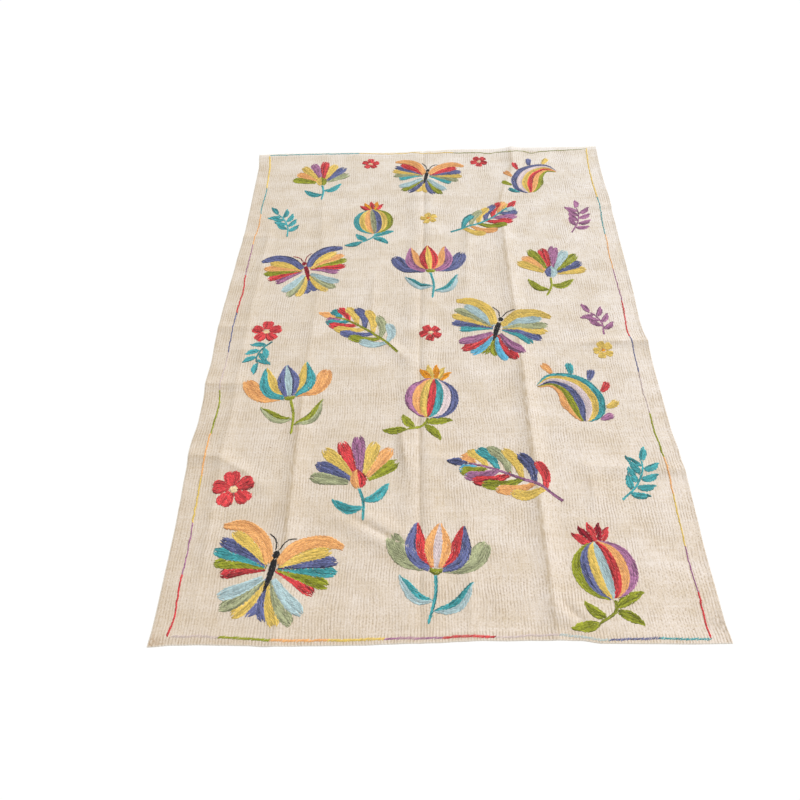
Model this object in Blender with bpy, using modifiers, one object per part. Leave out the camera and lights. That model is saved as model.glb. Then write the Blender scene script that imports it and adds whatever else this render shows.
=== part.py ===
"""A flat-woven cotton rug, opened out on the floor with the creases of its folds still in it.

Metres, +Z up. The length runs along Y, the width along X and the floor is z = 0. The origin
is the middle of the underside. The tables below are in millimetres, as a maker would write
them down: where the hem strays from a straight edge, and where each crease runs and how high
it stands off the floor. Between its creases the cloth lies flat.
"""

import math
from collections import namedtuple

import bpy
from mathutils import Vector

MM = 0.001

WIDTH = 1200.0
LENGTH = 1800.0
THICKNESS = 3.0

# How far in from a hem the cloth is drawn along with it.
HEM_REACH = 210.0
# A crease keeps a small round at its crest, as a share of its half width.
CREST_ROUND = 0.10
# Brings the two crests of a trough up to the full rise.
TROUGH_GAIN = 6.75
# Cloth lower than this lies on the floor.
LEAST_LIFT = 0.12

# Grid cells between the left hem, each upright fold in turn and the right hem.
COLUMNS_BETWEEN = (5, 11, 15, 13, 16)
ROWS = 74
# Columns crowd towards the folds by this share of their even spacing.
CROWDING = 0.45

CREAM = (0.70, 0.61, 0.50, 1.0)
ROUGHNESS = 0.95

Edge = namedtuple("Edge", "along out")
Station = namedtuple("Station", "x y rise")
Crease = namedtuple("Crease", "shape half_width stations")

# Each hem: the place along it, and how far it strays outward there.
LEFT_HEM = (
    Edge(900, -2), Edge(811, -8), Edge(475, -9), Edge(298, -2), Edge(189, 2), Edge(86, 6),
    Edge(-12, 7), Edge(-104, 4), Edge(-170, 7), Edge(-250, 3), Edge(-313, 3), Edge(-389, 9),
    Edge(-480, 6), Edge(-565, 3), Edge(-630, 1), Edge(-860, 1), Edge(-900, 0),
)
RIGHT_HEM = (
    Edge(900, 0), Edge(800, -5), Edge(729, -6), Edge(593, -2), Edge(529, -5), Edge(300, -5),
    Edge(183, -7), Edge(20, -11), Edge(-61, -5), Edge(-150, -7), Edge(-351, -7), Edge(-425, -1),
    Edge(-510, 1), Edge(-594, -3), Edge(-686, -6), Edge(-853, -5), Edge(-900, -1),
)
TOP_HEM = (
    Edge(-600, 4), Edge(-530, 8), Edge(-415, 8), Edge(-286, 7), Edge(-157, 0), Edge(-71, 1),
    Edge(14, 3), Edge(80, 10), Edge(228, 8), Edge(300, 12), Edge(440, 10), Edge(548, 8),
    Edge(600, 10),
)
BOTTOM_HEM = (
    Edge(-600, 10), Edge(-548, 4), Edge(-498, 3), Edge(-449, 4), Edge(-400, 5), Edge(-350, 8),
    Edge(-262, 6), Edge(-153, 5), Edge(-104, 3), Edge(-55, 2), Edge(-6, 1), Edge(44, -2),
    Edge(93, -4), Edge(142, -3), Edge(191, -4), Edge(241, -3), Edge(290, -3), Edge(339, 3),
    Edge(438, 4), Edge(521, 5), Edge(600, 4),
)

RIDGE = "ridge"
TROUGH = "trough"

# The four folds that run the length of the rug, from the left: where each passes and how
# high its crest stands.
UPRIGHT_FOLDS = (
    Crease(RIDGE, 34, (
        Station(-514, 520, 0), Station(-516, 440, 2.5), Station(-518, -620, 3),
        Station(-520, -880, 0),
    )),
    Crease(RIDGE, 44, (
        Station(-352, 640, 0), Station(-345, 540, 3), Station(-328, 300, 2.5),
        Station(-336, -120, 3), Station(-337, -270, 6), Station(-337, -780, 6),
        Station(-335, -920, 3),
    )),
    Crease(TROUGH, 64, (
        Station(-10, 930, 2), Station(-14, 480, 3.5), Station(-30, 60, 3),
        Station(-35, -380, 4), Station(-36, -740, 3), Station(-36, -920, 1),
    )),
    Crease(RIDGE, 46, (
        Station(300, 930, 5), Station(297, 790, 7), Station(264, 690, 4), Station(240, 600, 5),
        Station(239, 380, 6), Station(244, 60, 6), Station(245, -180, 8), Station(246, -540, 8),
        Station(247, -780, 6), Station(249, -920, 3),
    )),
)

# The short folds that run in from the side hems, and the pinches between all of them. The
# last pinch is the near left corner, which curls up.
CROSS_FOLDS = (
    Crease(RIDGE, 30, (Station(-620, 436, 3), Station(-540, 434, 3), Station(-460, 432, 0))),
    Crease(RIDGE, 32, (Station(-620, 30, 5), Station(-540, 28, 4), Station(-430, 22, 0))),
    Crease(RIDGE, 34, (Station(-620, -184, 5), Station(-520, -188, 5), Station(-410, -180, 0))),
    Crease(RIDGE, 36, (
        Station(-620, -416, 5), Station(-530, -424, 6), Station(-462, -468, 6),
        Station(-380, -540, 0),
    )),
    Crease(RIDGE, 32, (Station(620, 560, 2.5), Station(460, 565, 2.5), Station(380, 566, 0))),
    Crease(RIDGE, 36, (Station(620, -52, 6), Station(480, -54, 6), Station(320, -60, 0))),
    Crease(RIDGE, 34, (Station(620, -480, 5), Station(480, -474, 4), Station(330, -458, 0))),
)
PINCHES = (
    Crease(RIDGE, 34, (
        Station(-162, 290, 0), Station(-165, 190, 3), Station(-168, 70, 3), Station(-172, -30, 0),
    )),
    Crease(RIDGE, 36, (
        Station(132, 580, 0), Station(128, 470, 3), Station(112, 230, 3), Station(98, 90, 0),
    )),
    Crease(RIDGE, 34, (
        Station(-150, -10, 0), Station(-112, -52, 4), Station(-76, -96, 4), Station(-42, -130, 0),
    )),
    Crease(RIDGE, 32, (
        Station(-80, -310, 0), Station(-78, -370, 5), Station(-70, -430, 5), Station(-60, -500, 0),
    )),
    Crease(RIDGE, 36, (
        Station(-20, -430, 1), Station(64, -448, 4), Station(134, -478, 4), Station(190, -505, 0),
    )),
    Crease(TROUGH, 52, (
        Station(-240, -572, 0), Station(-180, -608, 4), Station(-112, -650, 5),
        Station(-20, -702, 0),
    )),
    Crease(RIDGE, 34, (
        Station(74, -570, 0), Station(72, -660, 3), Station(72, -820, 3), Station(70, -890, 0),
    )),
    Crease(RIDGE, 34, (Station(378, -450, 0), Station(372, -520, 3.5), Station(366, -600, 0))),
    Crease(TROUGH, 48, (Station(248, -790, 0), Station(282, -836, 4), Station(330, -886, 0))),
    Crease(RIDGE, 60, (Station(-625, -925, 9), Station(-585, -885, 5), Station(-530, -830, 0))),
)


def smooth_step(share):
    """Ease from 0 to 1, level at both ends."""
    share = min(max(share, 0.0), 1.0)
    return share * share * (3.0 - 2.0 * share)


def stray_at(hem, along):
    """How far a hem strays outward at a place along it, in millimetres."""
    rows = sorted(hem)
    for low, high in zip(rows, rows[1:]):
        if along <= high.along:
            share = smooth_step((along - low.along) / (high.along - low.along))
            return low.out + share * (high.out - low.out)
    return rows[-1].out


def drawn_point(x, y):
    """Where a point of the straight-edged cloth lies once its hems stray."""
    left = smooth_step(1.0 - (WIDTH / 2 + x) / HEM_REACH) * stray_at(LEFT_HEM, y)
    right = smooth_step(1.0 - (WIDTH / 2 - x) / HEM_REACH) * stray_at(RIGHT_HEM, y)
    bottom = smooth_step(1.0 - (LENGTH / 2 + y) / HEM_REACH) * stray_at(BOTTOM_HEM, x)
    top = smooth_step(1.0 - (LENGTH / 2 - y) / HEM_REACH) * stray_at(TOP_HEM, x)
    return x - left + right, y - bottom + top


def crest_shape(crease, away):
    """Share of the full rise that is left at a distance from a crease's line."""
    share = away / crease.half_width
    if share >= 1.0:
        return 0.0
    if crease.shape == TROUGH:
        return TROUGH_GAIN * share * (1.0 - share) ** 2
    rounded = math.hypot(share, CREST_ROUND) - CREST_ROUND
    return max(1.0 - rounded / (math.hypot(1.0, CREST_ROUND) - CREST_ROUND), 0.0) ** 2


def crease_lift(crease, x, y):
    """Height that one crease gives a point of the cloth."""
    nearest = math.inf
    rise = 0.0
    for start, end in zip(crease.stations, crease.stations[1:]):
        run = Vector((end.x - start.x, end.y - start.y))
        offset = Vector((x - start.x, y - start.y))
        share = min(max(offset.dot(run) / run.length_squared, 0.0), 1.0)
        away = (offset - share * run).length
        if away < nearest:
            nearest = away
            rise = start.rise + share * (end.rise - start.rise)
    return rise * crest_shape(crease, nearest)


def lift_at(x, y):
    """Height of the underside over the floor at a point of the cloth."""
    creases = UPRIGHT_FOLDS + CROSS_FOLDS + PINCHES
    lift = sum(crease_lift(crease, x, y) for crease in creases)
    return lift if lift > LEAST_LIFT else 0.0


def fold_x(crease, y):
    """Where an upright fold crosses a level of the rug."""
    rows = sorted(crease.stations, key=lambda station: station.y)
    if y <= rows[0].y:
        return rows[0].x
    for low, high in zip(rows, rows[1:]):
        if y <= high.y:
            return low.x + (y - low.y) / (high.y - low.y) * (high.x - low.x)
    return rows[-1].x


def column_x(column, y):
    """Place of a grid column at a level: the columns follow the folds and crowd at them."""
    lines = [-WIDTH / 2] + [fold_x(fold, y) for fold in UPRIGHT_FOLDS] + [WIDTH / 2]
    first = 0
    for count, low, high in zip(COLUMNS_BETWEEN, lines, lines[1:]):
        if column <= first + count:
            share = (column - first) / count
            share -= CROWDING * math.sin(2.0 * math.pi * share) / (2.0 * math.pi)
            return low + share * (high - low)
        first += count
    return lines[-1]


def make_cotton():
    """The rug's undyed cotton."""
    material = bpy.data.materials.new("undyed_cotton")
    material.use_nodes = True
    shader = material.node_tree.nodes["Principled BSDF"]
    shader.inputs["Base Color"].default_value = CREAM
    shader.inputs["Roughness"].default_value = ROUGHNESS
    shader.inputs["Metallic"].default_value = 0.0
    return material


def make_rug(collection):
    """The whole cloth, its turned hem included, as one sheet of even thickness."""
    columns = sum(COLUMNS_BETWEEN)
    bpy.ops.mesh.primitive_grid_add(x_subdivisions=columns, y_subdivisions=ROWS, size=2.0)
    rug = bpy.context.object
    rug.name = "rug"
    rug.data.name = "rug"
    for vertex in rug.data.vertices:
        column = round((vertex.co.x + 1.0) / 2.0 * columns)
        y = vertex.co.y * LENGTH / 2
        x = column_x(column, y)
        drawn_x, drawn_y = drawn_point(x, y)
        vertex.co = Vector((drawn_x, drawn_y, lift_at(x, y))) * MM

    # The stray of the hems is uneven, so the origin moves to the middle of the outline.
    for axis in (0, 1):
        places = [vertex.co[axis] for vertex in rug.data.vertices]
        middle = (min(places) + max(places)) / 2
        for vertex in rug.data.vertices:
            vertex.co[axis] -= middle

    shell = rug.modifiers.new("cloth thickness", "SOLIDIFY")
    shell.thickness = THICKNESS * MM
    shell.offset = 1.0
    rug.data.materials.append(make_cotton())
    rug.data.shade_smooth()
    for owner in list(rug.users_collection):
        owner.objects.unlink(rug)
    collection.objects.link(rug)
    return rug


def main():
    """Clear the scene and lay the rug in it."""
    for leftover in list(bpy.data.objects):
        bpy.data.objects.remove(leftover, do_unlink=True)
    collection = bpy.data.collections.new("creased_rug")
    bpy.context.scene.collection.children.link(collection)
    make_rug(collection)


main()
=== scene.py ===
"""The looks of a flat-woven cotton rug, opened out with the creases of its folds still in it.

Sizes of the cloth and the stitches are in millimetres, in the flat plan of the cloth: x
across the rug and y along it, from the rug's middle. The ground turns that plan into the
creased cloth as it lies on the floor, in Blender's metres, so stitches and weave follow the
creases. The studio's places are in metres.
"""

import logging
import math
from dataclasses import dataclass, field
from enum import Enum
from functools import partial
from typing import Any, Callable, Iterable, NamedTuple, Protocol, Sequence

import bpy
import numpy as np
from mathutils import Matrix, Vector

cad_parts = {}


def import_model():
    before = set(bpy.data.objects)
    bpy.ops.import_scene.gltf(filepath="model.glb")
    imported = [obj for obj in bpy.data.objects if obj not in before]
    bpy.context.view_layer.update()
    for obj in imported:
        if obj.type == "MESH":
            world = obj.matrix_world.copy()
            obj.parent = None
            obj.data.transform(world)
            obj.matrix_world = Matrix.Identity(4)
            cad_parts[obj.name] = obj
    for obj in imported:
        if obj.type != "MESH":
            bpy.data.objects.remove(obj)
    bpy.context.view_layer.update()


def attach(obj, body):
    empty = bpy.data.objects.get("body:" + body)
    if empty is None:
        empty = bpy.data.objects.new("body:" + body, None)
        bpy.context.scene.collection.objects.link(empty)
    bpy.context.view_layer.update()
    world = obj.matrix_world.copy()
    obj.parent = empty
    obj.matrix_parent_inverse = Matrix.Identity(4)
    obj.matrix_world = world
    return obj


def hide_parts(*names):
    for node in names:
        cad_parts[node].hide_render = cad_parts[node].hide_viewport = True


MM = 0.001
FLAT_PLACE = "flat_place"
FOLD_PLACE = "fold_place"
YARN_PLACE = "yarn_place"
STITCH_TONE = "stitch_tone"
BAKE_MAP = "OFBake"

LOG = logging.getLogger("rug")

# Which way the light comes from in the plan of the rug, in degrees from the x axis.
LIGHT_HEADING = 52.0

# Eases a value from one range into another, level outside it.
EASED = {"interpolation_type": "SMOOTHSTEP"}

Point = tuple[float, float]
Place = tuple[float, float, float]
Colour = tuple[float, float, float, float]
# Places along a hem or a line, each with how far it strays outward there.
Course = tuple[Point, ...]
Socket = bpy.types.NodeSocket
Adder = Callable[..., Socket | None]


class Station(NamedTuple):
    """A place that a crease passes, and how high it stands there."""

    x: float
    y: float
    rise: float


class Relief(Enum):
    """The two ways in which a crease stands off the floor."""

    RIDGE = "one soft crest"
    TROUGH = "two low crests with a pinched line between"


LEFT_HEM = (
    (900, -2), (811, -10), (475, -11), (298, -4), (189, 0.5), (86, 4.5), (-12, 5.5), (-104, 3),
    (-170, 5.5), (-250, 1.5), (-313, 1.5), (-389, 8), (-480, 4.5), (-565, 1.5), (-630, -0.5),
    (-860, -0.5), (-900, 0),
)
RIGHT_HEM = (
    (900, -1), (800, -5), (729, -6), (593, -3), (529, -6), (300, -7.5), (183, -8), (20, -12.5),
    (-61, -7), (-150, -9), (-351, -8.5), (-425, -3.5), (-510, -2), (-594, -4), (-686, -6.5),
    (-853, -6), (-900, -1.5),
)
TOP_HEM = (
    (-600, 4), (-530, 8), (-415, 8), (-286, 7), (-157, 0), (-71, 1), (14, 3), (80, 10), (228, 8),
    (300, 12), (440, 10), (548, 8), (600, 10),
)
BOTTOM_HEM = (
    (-600, 10), (-548, 4), (-498, 3), (-449, 4), (-400, 5), (-350, 8), (-262, 6), (-153, 5),
    (-104, 3), (-55, 2), (-6, 1), (44, -2), (93, -4), (142, -3), (191, -4), (241, -3), (290, -3),
    (339, 3), (438, 4), (521, 5), (600, 4),
)


def smooth_step(share: np.ndarray) -> np.ndarray:
    """Ease from 0 to 1, level at both ends."""
    share = np.clip(share, 0.0, 1.0)
    return share * share * (3.0 - 2.0 * share)


@dataclass(frozen=True)
class Crease:
    """One crease: its kind, how far it reaches to each side, and the places it passes."""

    relief: Relief
    half_width: float
    stations: tuple[Station, ...]
    crest_round: float = 0.20
    # Brings the crests of a trough up to the full rise.
    trough_gain: float = 6.75
    # Right at its line a fold is pinched: by this share of its rise, and this far from it.
    pinch_share: float = 0.05
    pinch_reach: float = 14.0

    def beside(self, x: np.ndarray, y: np.ndarray) -> tuple[np.ndarray, np.ndarray, np.ndarray]:
        """Find how points of the cloth lie beside the crease's line.

        Args:
            x: Places across the rug.
            y: Places along it.

        Returns:
            The distance to the line, the crease's rise there, and a number that is above zero
            on the side of the line that the light comes from.
        """
        light_x = math.cos(math.radians(LIGHT_HEADING))
        light_y = math.sin(math.radians(LIGHT_HEADING))
        nearest = np.full(x.shape, np.inf)
        rise = np.zeros(x.shape)
        lit = np.ones(x.shape)
        for start, end in zip(self.stations, self.stations[1:]):
            run_x, run_y = end.x - start.x, end.y - start.y
            along = (x - start.x) * run_x + (y - start.y) * run_y
            along = np.clip(along / (run_x**2 + run_y**2), 0.0, 1.0)
            aside_x = x - start.x - along * run_x
            aside_y = y - start.y - along * run_y
            away = np.hypot(aside_x, aside_y)
            closer = away < nearest
            rise = np.where(closer, start.rise + along * (end.rise - start.rise), rise)
            lit = np.where(closer, aside_x * light_x + aside_y * light_y, lit)
            nearest = np.minimum(nearest, away)
        return nearest, rise, lit

    def lift(self, x: np.ndarray, y: np.ndarray) -> np.ndarray:
        """Find the height that this crease gives points of the cloth.

        Args:
            x: Places across the rug.
            y: Places along it.

        Returns:
            The heights, in millimetres.
        """
        away, rise, _ = self.beside(x, y)
        pinch = self.pinch_share * np.maximum(1.0 - away / self.pinch_reach, 0.0) ** 1.5
        if self.relief is Relief.TROUGH:
            pinch = -pinch
        shape = self.shape(np.minimum(away / self.half_width, 1.0))
        return rise * np.maximum(shape + pinch, 0.0)

    def shape(self, share: np.ndarray) -> np.ndarray:
        """Share of the rise that is left at a share of the half width."""
        if self.relief is Relief.TROUGH:
            return self.trough_gain * share * (1.0 - share) ** 2
        rounded = np.hypot(share, self.crest_round) - self.crest_round
        full = math.hypot(1.0, self.crest_round) - self.crest_round
        return np.maximum(1.0 - rounded / full, 0.0) ** 2


def ridge(half_width: float, *places: Place) -> Crease:
    """Make a ridge through places given as x, y and rise."""
    return Crease(Relief.RIDGE, half_width, tuple(Station(*place) for place in places))


def trough(half_width: float, *places: Place) -> Crease:
    """Make a pinched trough through places given as x, y and rise."""
    return Crease(Relief.TROUGH, half_width, tuple(Station(*place) for place in places))


# Half widths, and the places that each crease passes: x, y and how high it stands there.
CREASES = (
    # Folds that run the length of the rug.
    ridge(34, (-514, 520, 0), (-516, 440, 2.5), (-518, -620, 3), (-520, -880, 0)),
    ridge(44, (-352, 640, 0), (-345, 540, 3), (-328, 300, 2.5), (-336, -120, 3),
          (-337, -270, 6), (-337, -780, 6), (-335, -920, 3)),
    trough(64, (-10, 930, 2), (-14, 480, 3.5), (-30, 60, 3), (-35, -380, 4), (-36, -740, 3),
           (-36, -920, 1)),
    ridge(46, (300, 930, 5), (297, 790, 7), (264, 690, 4), (240, 600, 5), (239, 380, 6),
          (244, 60, 6), (245, -180, 8), (246, -540, 8), (247, -780, 6), (249, -920, 3)),
    # Short folds that run in from the side hems.
    ridge(30, (-620, 436, 3), (-540, 434, 3), (-460, 432, 0)),
    ridge(34, (-620, 30, 3.5), (-540, 28, 3), (-430, 22, 0)),
    ridge(38, (-620, -184, 3.5), (-520, -188, 3.5), (-410, -180, 0)),
    ridge(40, (-620, -416, 3.5), (-530, -424, 4), (-462, -468, 4.5), (-380, -540, 0)),
    ridge(32, (620, 560, 2.5), (460, 565, 2.5), (380, 566, 0)),
    ridge(36, (620, -52, 5.5), (480, -54, 5.5), (320, -60, 0)),
    ridge(38, (620, -480, 3.5), (480, -474, 3), (330, -458, 0)),
    # Pinches between them.
    ridge(34, (-162, 290, 0), (-165, 190, 3), (-168, 70, 3), (-172, -30, 0)),
    ridge(36, (132, 580, 0), (128, 470, 3), (112, 230, 3), (98, 90, 0)),
    ridge(34, (-150, -10, 0), (-112, -52, 4), (-76, -96, 4), (-42, -130, 0)),
    ridge(32, (-80, -310, 0), (-78, -370, 5), (-70, -430, 5), (-60, -500, 0)),
    ridge(36, (-20, -430, 1), (64, -448, 4), (134, -478, 4), (190, -505, 0)),
    trough(52, (-240, -572, 0), (-180, -608, 4), (-112, -650, 5), (-20, -702, 0)),
    ridge(34, (74, -570, 0), (72, -660, 3), (72, -820, 3), (70, -890, 0)),
    ridge(34, (378, -450, 0), (372, -520, 3.5), (366, -600, 0)),
    trough(48, (248, -790, 0), (282, -836, 4), (330, -886, 0)),
    # The near left corner, which curls up.
    ridge(60, (-625, -925, 9), (-585, -885, 5), (-530, -830, 0)),
)


@dataclass
class Ground:
    """The cloth's shape as it lies: its plan drawn in and out at the hems, and its creases."""

    width: float = 1200.0
    length: float = 1800.0
    thickness: float = 3.0
    hem_reach: float = 210.0
    least_lift: float = 0.12
    # Between the creases the cloth is never quite flat.
    unevenness: float = 0.45
    # The hems lie flatter, from this far inside them.
    hem_calm: float = 30.0
    # How far from its line a fold marks the cloth.
    fold_reach: float = 26.0
    middle: Point = (0.0, 0.0)

    def __post_init__(self) -> None:
        """Find the middle of the outline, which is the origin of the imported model."""
        across = np.linspace(-self.width / 2, self.width / 2, 400)
        along = np.linspace(-self.length / 2, self.length / 2, 600)
        side = np.full(along.shape, self.width / 2)
        end = np.full(across.shape, self.length / 2)
        left = self.drawn(-side, along)[0].min()
        right = self.drawn(side, along)[0].max()
        near = self.drawn(across, -end)[1].min()
        far = self.drawn(across, end)[1].max()
        self.middle = ((left + right) / 2, (near + far) / 2)

    @staticmethod
    def stray(hem: Course, along: np.ndarray) -> np.ndarray:
        """How far a hem strays outward at places along it."""
        rows = np.array(sorted(hem))
        low = np.clip(np.searchsorted(rows[:, 0], along) - 1, 0, len(rows) - 2)
        share = (along - rows[low, 0]) / (rows[low + 1, 0] - rows[low, 0])
        return rows[low, 1] + smooth_step(share) * (rows[low + 1, 1] - rows[low, 1])

    def drawn(self, x: np.ndarray, y: np.ndarray) -> tuple[np.ndarray, np.ndarray]:
        """Where points of the flat plan lie once the hems stray."""
        reach = self.hem_reach
        left = smooth_step(1.0 - (self.width / 2 + x) / reach) * self.stray(LEFT_HEM, y)
        right = smooth_step(1.0 - (self.width / 2 - x) / reach) * self.stray(RIGHT_HEM, y)
        near = smooth_step(1.0 - (self.length / 2 + y) / reach) * self.stray(BOTTOM_HEM, x)
        far = smooth_step(1.0 - (self.length / 2 - y) / reach) * self.stray(TOP_HEM, x)
        return x - left + right - self.middle[0], y - near + far - self.middle[1]

    def lift(self, x: np.ndarray, y: np.ndarray) -> np.ndarray:
        """Height of the cloth's underside over the floor."""
        lift = sum(crease.lift(x, y) for crease in CREASES)
        return np.where(lift > self.least_lift, lift, 0.0)

    def fold_place(self, x: np.ndarray, y: np.ndarray) -> np.ndarray:
        """Find how points of the cloth lie beside the fold that marks them most.

        Args:
            x: Places across the rug.
            y: Places along it.

        Returns:
            Three numbers a point: the distance from the fold's line, below zero on the slope
            that turns from the light, the fold's rise, and 1 for a ridge or -1 for a trough.
        """
        best = np.zeros(x.shape)
        place = np.zeros((*x.shape, 3))
        place[..., 0] = self.fold_reach
        for crease in CREASES:
            away, rise, lit = crease.beside(x, y)
            rise = rise * smooth_step(1.0 - away / self.fold_reach)
            kind = -1.0 if crease.relief is Relief.TROUGH else 1.0
            found = np.stack((np.copysign(away, lit) * kind, rise, np.full(x.shape, kind)), axis=-1)
            place = np.where((rise > best)[..., None], found, place)
            best = np.maximum(best, rise)
        return place

    def unevenness_at(self, x: np.ndarray, y: np.ndarray) -> np.ndarray:
        """Slight heights and hollows that a handled cloth keeps between its creases.

        Args:
            x: Places across the rug.
            y: Places along it.

        Returns:
            The heights, in millimetres.
        """
        # How fast each wave turns across and along the rug, and where it starts.
        waves = (
            (0.021, 0.013, 0.4), (-0.017, 0.026, 2.1), (0.033, -0.009, 4.0),
            (0.011, 0.041, 1.3), (-0.043, 0.019, 5.2), (0.058, 0.031, 0.9),
        )
        total = sum(
            np.sin(along_x * x + along_y * y + phase + 1.3 * np.sin(0.009 * y + phase))
            for along_x, along_y, phase in waves
        )
        return self.unevenness * total / 2.0

    def top(self, x: np.ndarray, y: np.ndarray) -> np.ndarray:
        """Height of the cloth's upper face over the floor."""
        inside = np.minimum(self.width / 2 - np.abs(x), self.length / 2 - np.abs(y))
        settled = smooth_step(inside / self.hem_calm)
        return self.thickness + self.lift(x, y) + settled * self.unevenness_at(x, y)

    def laid(self, x: np.ndarray, y: np.ndarray, height: np.ndarray) -> np.ndarray:
        """Turn points of the plan, with their heights, into places in metres."""
        drawn_x, drawn_y = self.drawn(x, y)
        return np.stack((drawn_x, drawn_y, height), axis=-1) * MM


def linear_colour(hex_code: str) -> Colour:
    """Turn an sRGB hex value into Blender's linear colour."""
    channels = [int(hex_code[place : place + 2], 16) / 255 for place in (1, 3, 5)]
    red, green, blue = (
        value / 12.92 if value <= 0.04045 else ((value + 0.055) / 1.055) ** 2.4
        for value in channels
    )
    return red, green, blue, 1.0


def add_node(
    tree: bpy.types.NodeTree,
    kind: str,
    inputs: Sequence[Any] | dict[str, Any] = (),
    **settings: Any,
) -> Socket | None:
    """Add one node with its settings and links.

    Args:
        tree: The node tree it goes into.
        kind: Blender's name for the node's type, less the ShaderNode in front.
        inputs: A value or an output socket for each open input, in order or by name.
        settings: The node's own options.

    Returns:
        The first open output, if the node has one.
    """
    node = tree.nodes.new(f"ShaderNode{kind}")
    for name, value in settings.items():
        setattr(node, name, value)
    if not isinstance(inputs, dict):
        inputs = dict(zip([socket for socket in node.inputs if socket.enabled], inputs))
    for place, value in inputs.items():
        socket = node.inputs[place] if isinstance(place, str) else place
        if isinstance(value, Socket):
            tree.links.new(value, socket)
        else:
            socket.default_value = value
    return next((socket for socket in node.outputs if socket.enabled), None)


def new_material(name: str) -> tuple[bpy.types.Material, Adder]:
    """Make an empty material, and what adds a node to it."""
    material = bpy.data.materials.new(name)
    material.use_nodes = True
    material.node_tree.nodes.clear()
    return material, partial(add_node, material.node_tree)


class FlatCloth:
    """The start of a cloth's material, which knows where each point lies in the flat cloth."""

    def __init__(self, name: str, width: float, length: float, hem_width: float) -> None:
        """Start the material and read the places.

        Args:
            name: The material's name.
            width: The cloth's width.
            length: Its length.
            hem_width: The width of the hems at its two ends.
        """
        self.material, add = new_material(name)
        self.add = add
        self.place = add("Attribute", attribute_name=FLAT_PLACE).node.outputs["Vector"]
        self.x, self.y, _ = add("SeparateXYZ", (self.place,)).node.outputs
        self.across = add("Math", (self.x, width), operation="DIVIDE")
        self.along = add("Math", (self.y, length), operation="DIVIDE")
        self.from_right = add("Math", (width, self.x), operation="SUBTRACT")
        self.from_far = add("Math", (length, self.y), operation="SUBTRACT")
        to_end = add("Math", (self.y, self.from_far), operation="MINIMUM")
        # The doubled cloth of the end hems is 1 here, and the rest is 0.
        self.hem = add("MapRange", (to_end, hem_width + 2.0, hem_width - 3.0), **EASED)

    def noise(self, across: float, along: float = 0.0) -> Socket:
        """Make soft noise with features of a given width, and length if that differs."""
        scale = (1.0 / across, 1.0 / (along or across), 1.0)
        size = self.add("Mapping", {"Vector": self.place, "Scale": scale})
        return self.add("TexNoise", {"Vector": size, "Scale": 1.0, "Detail": 2.5})


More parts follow.
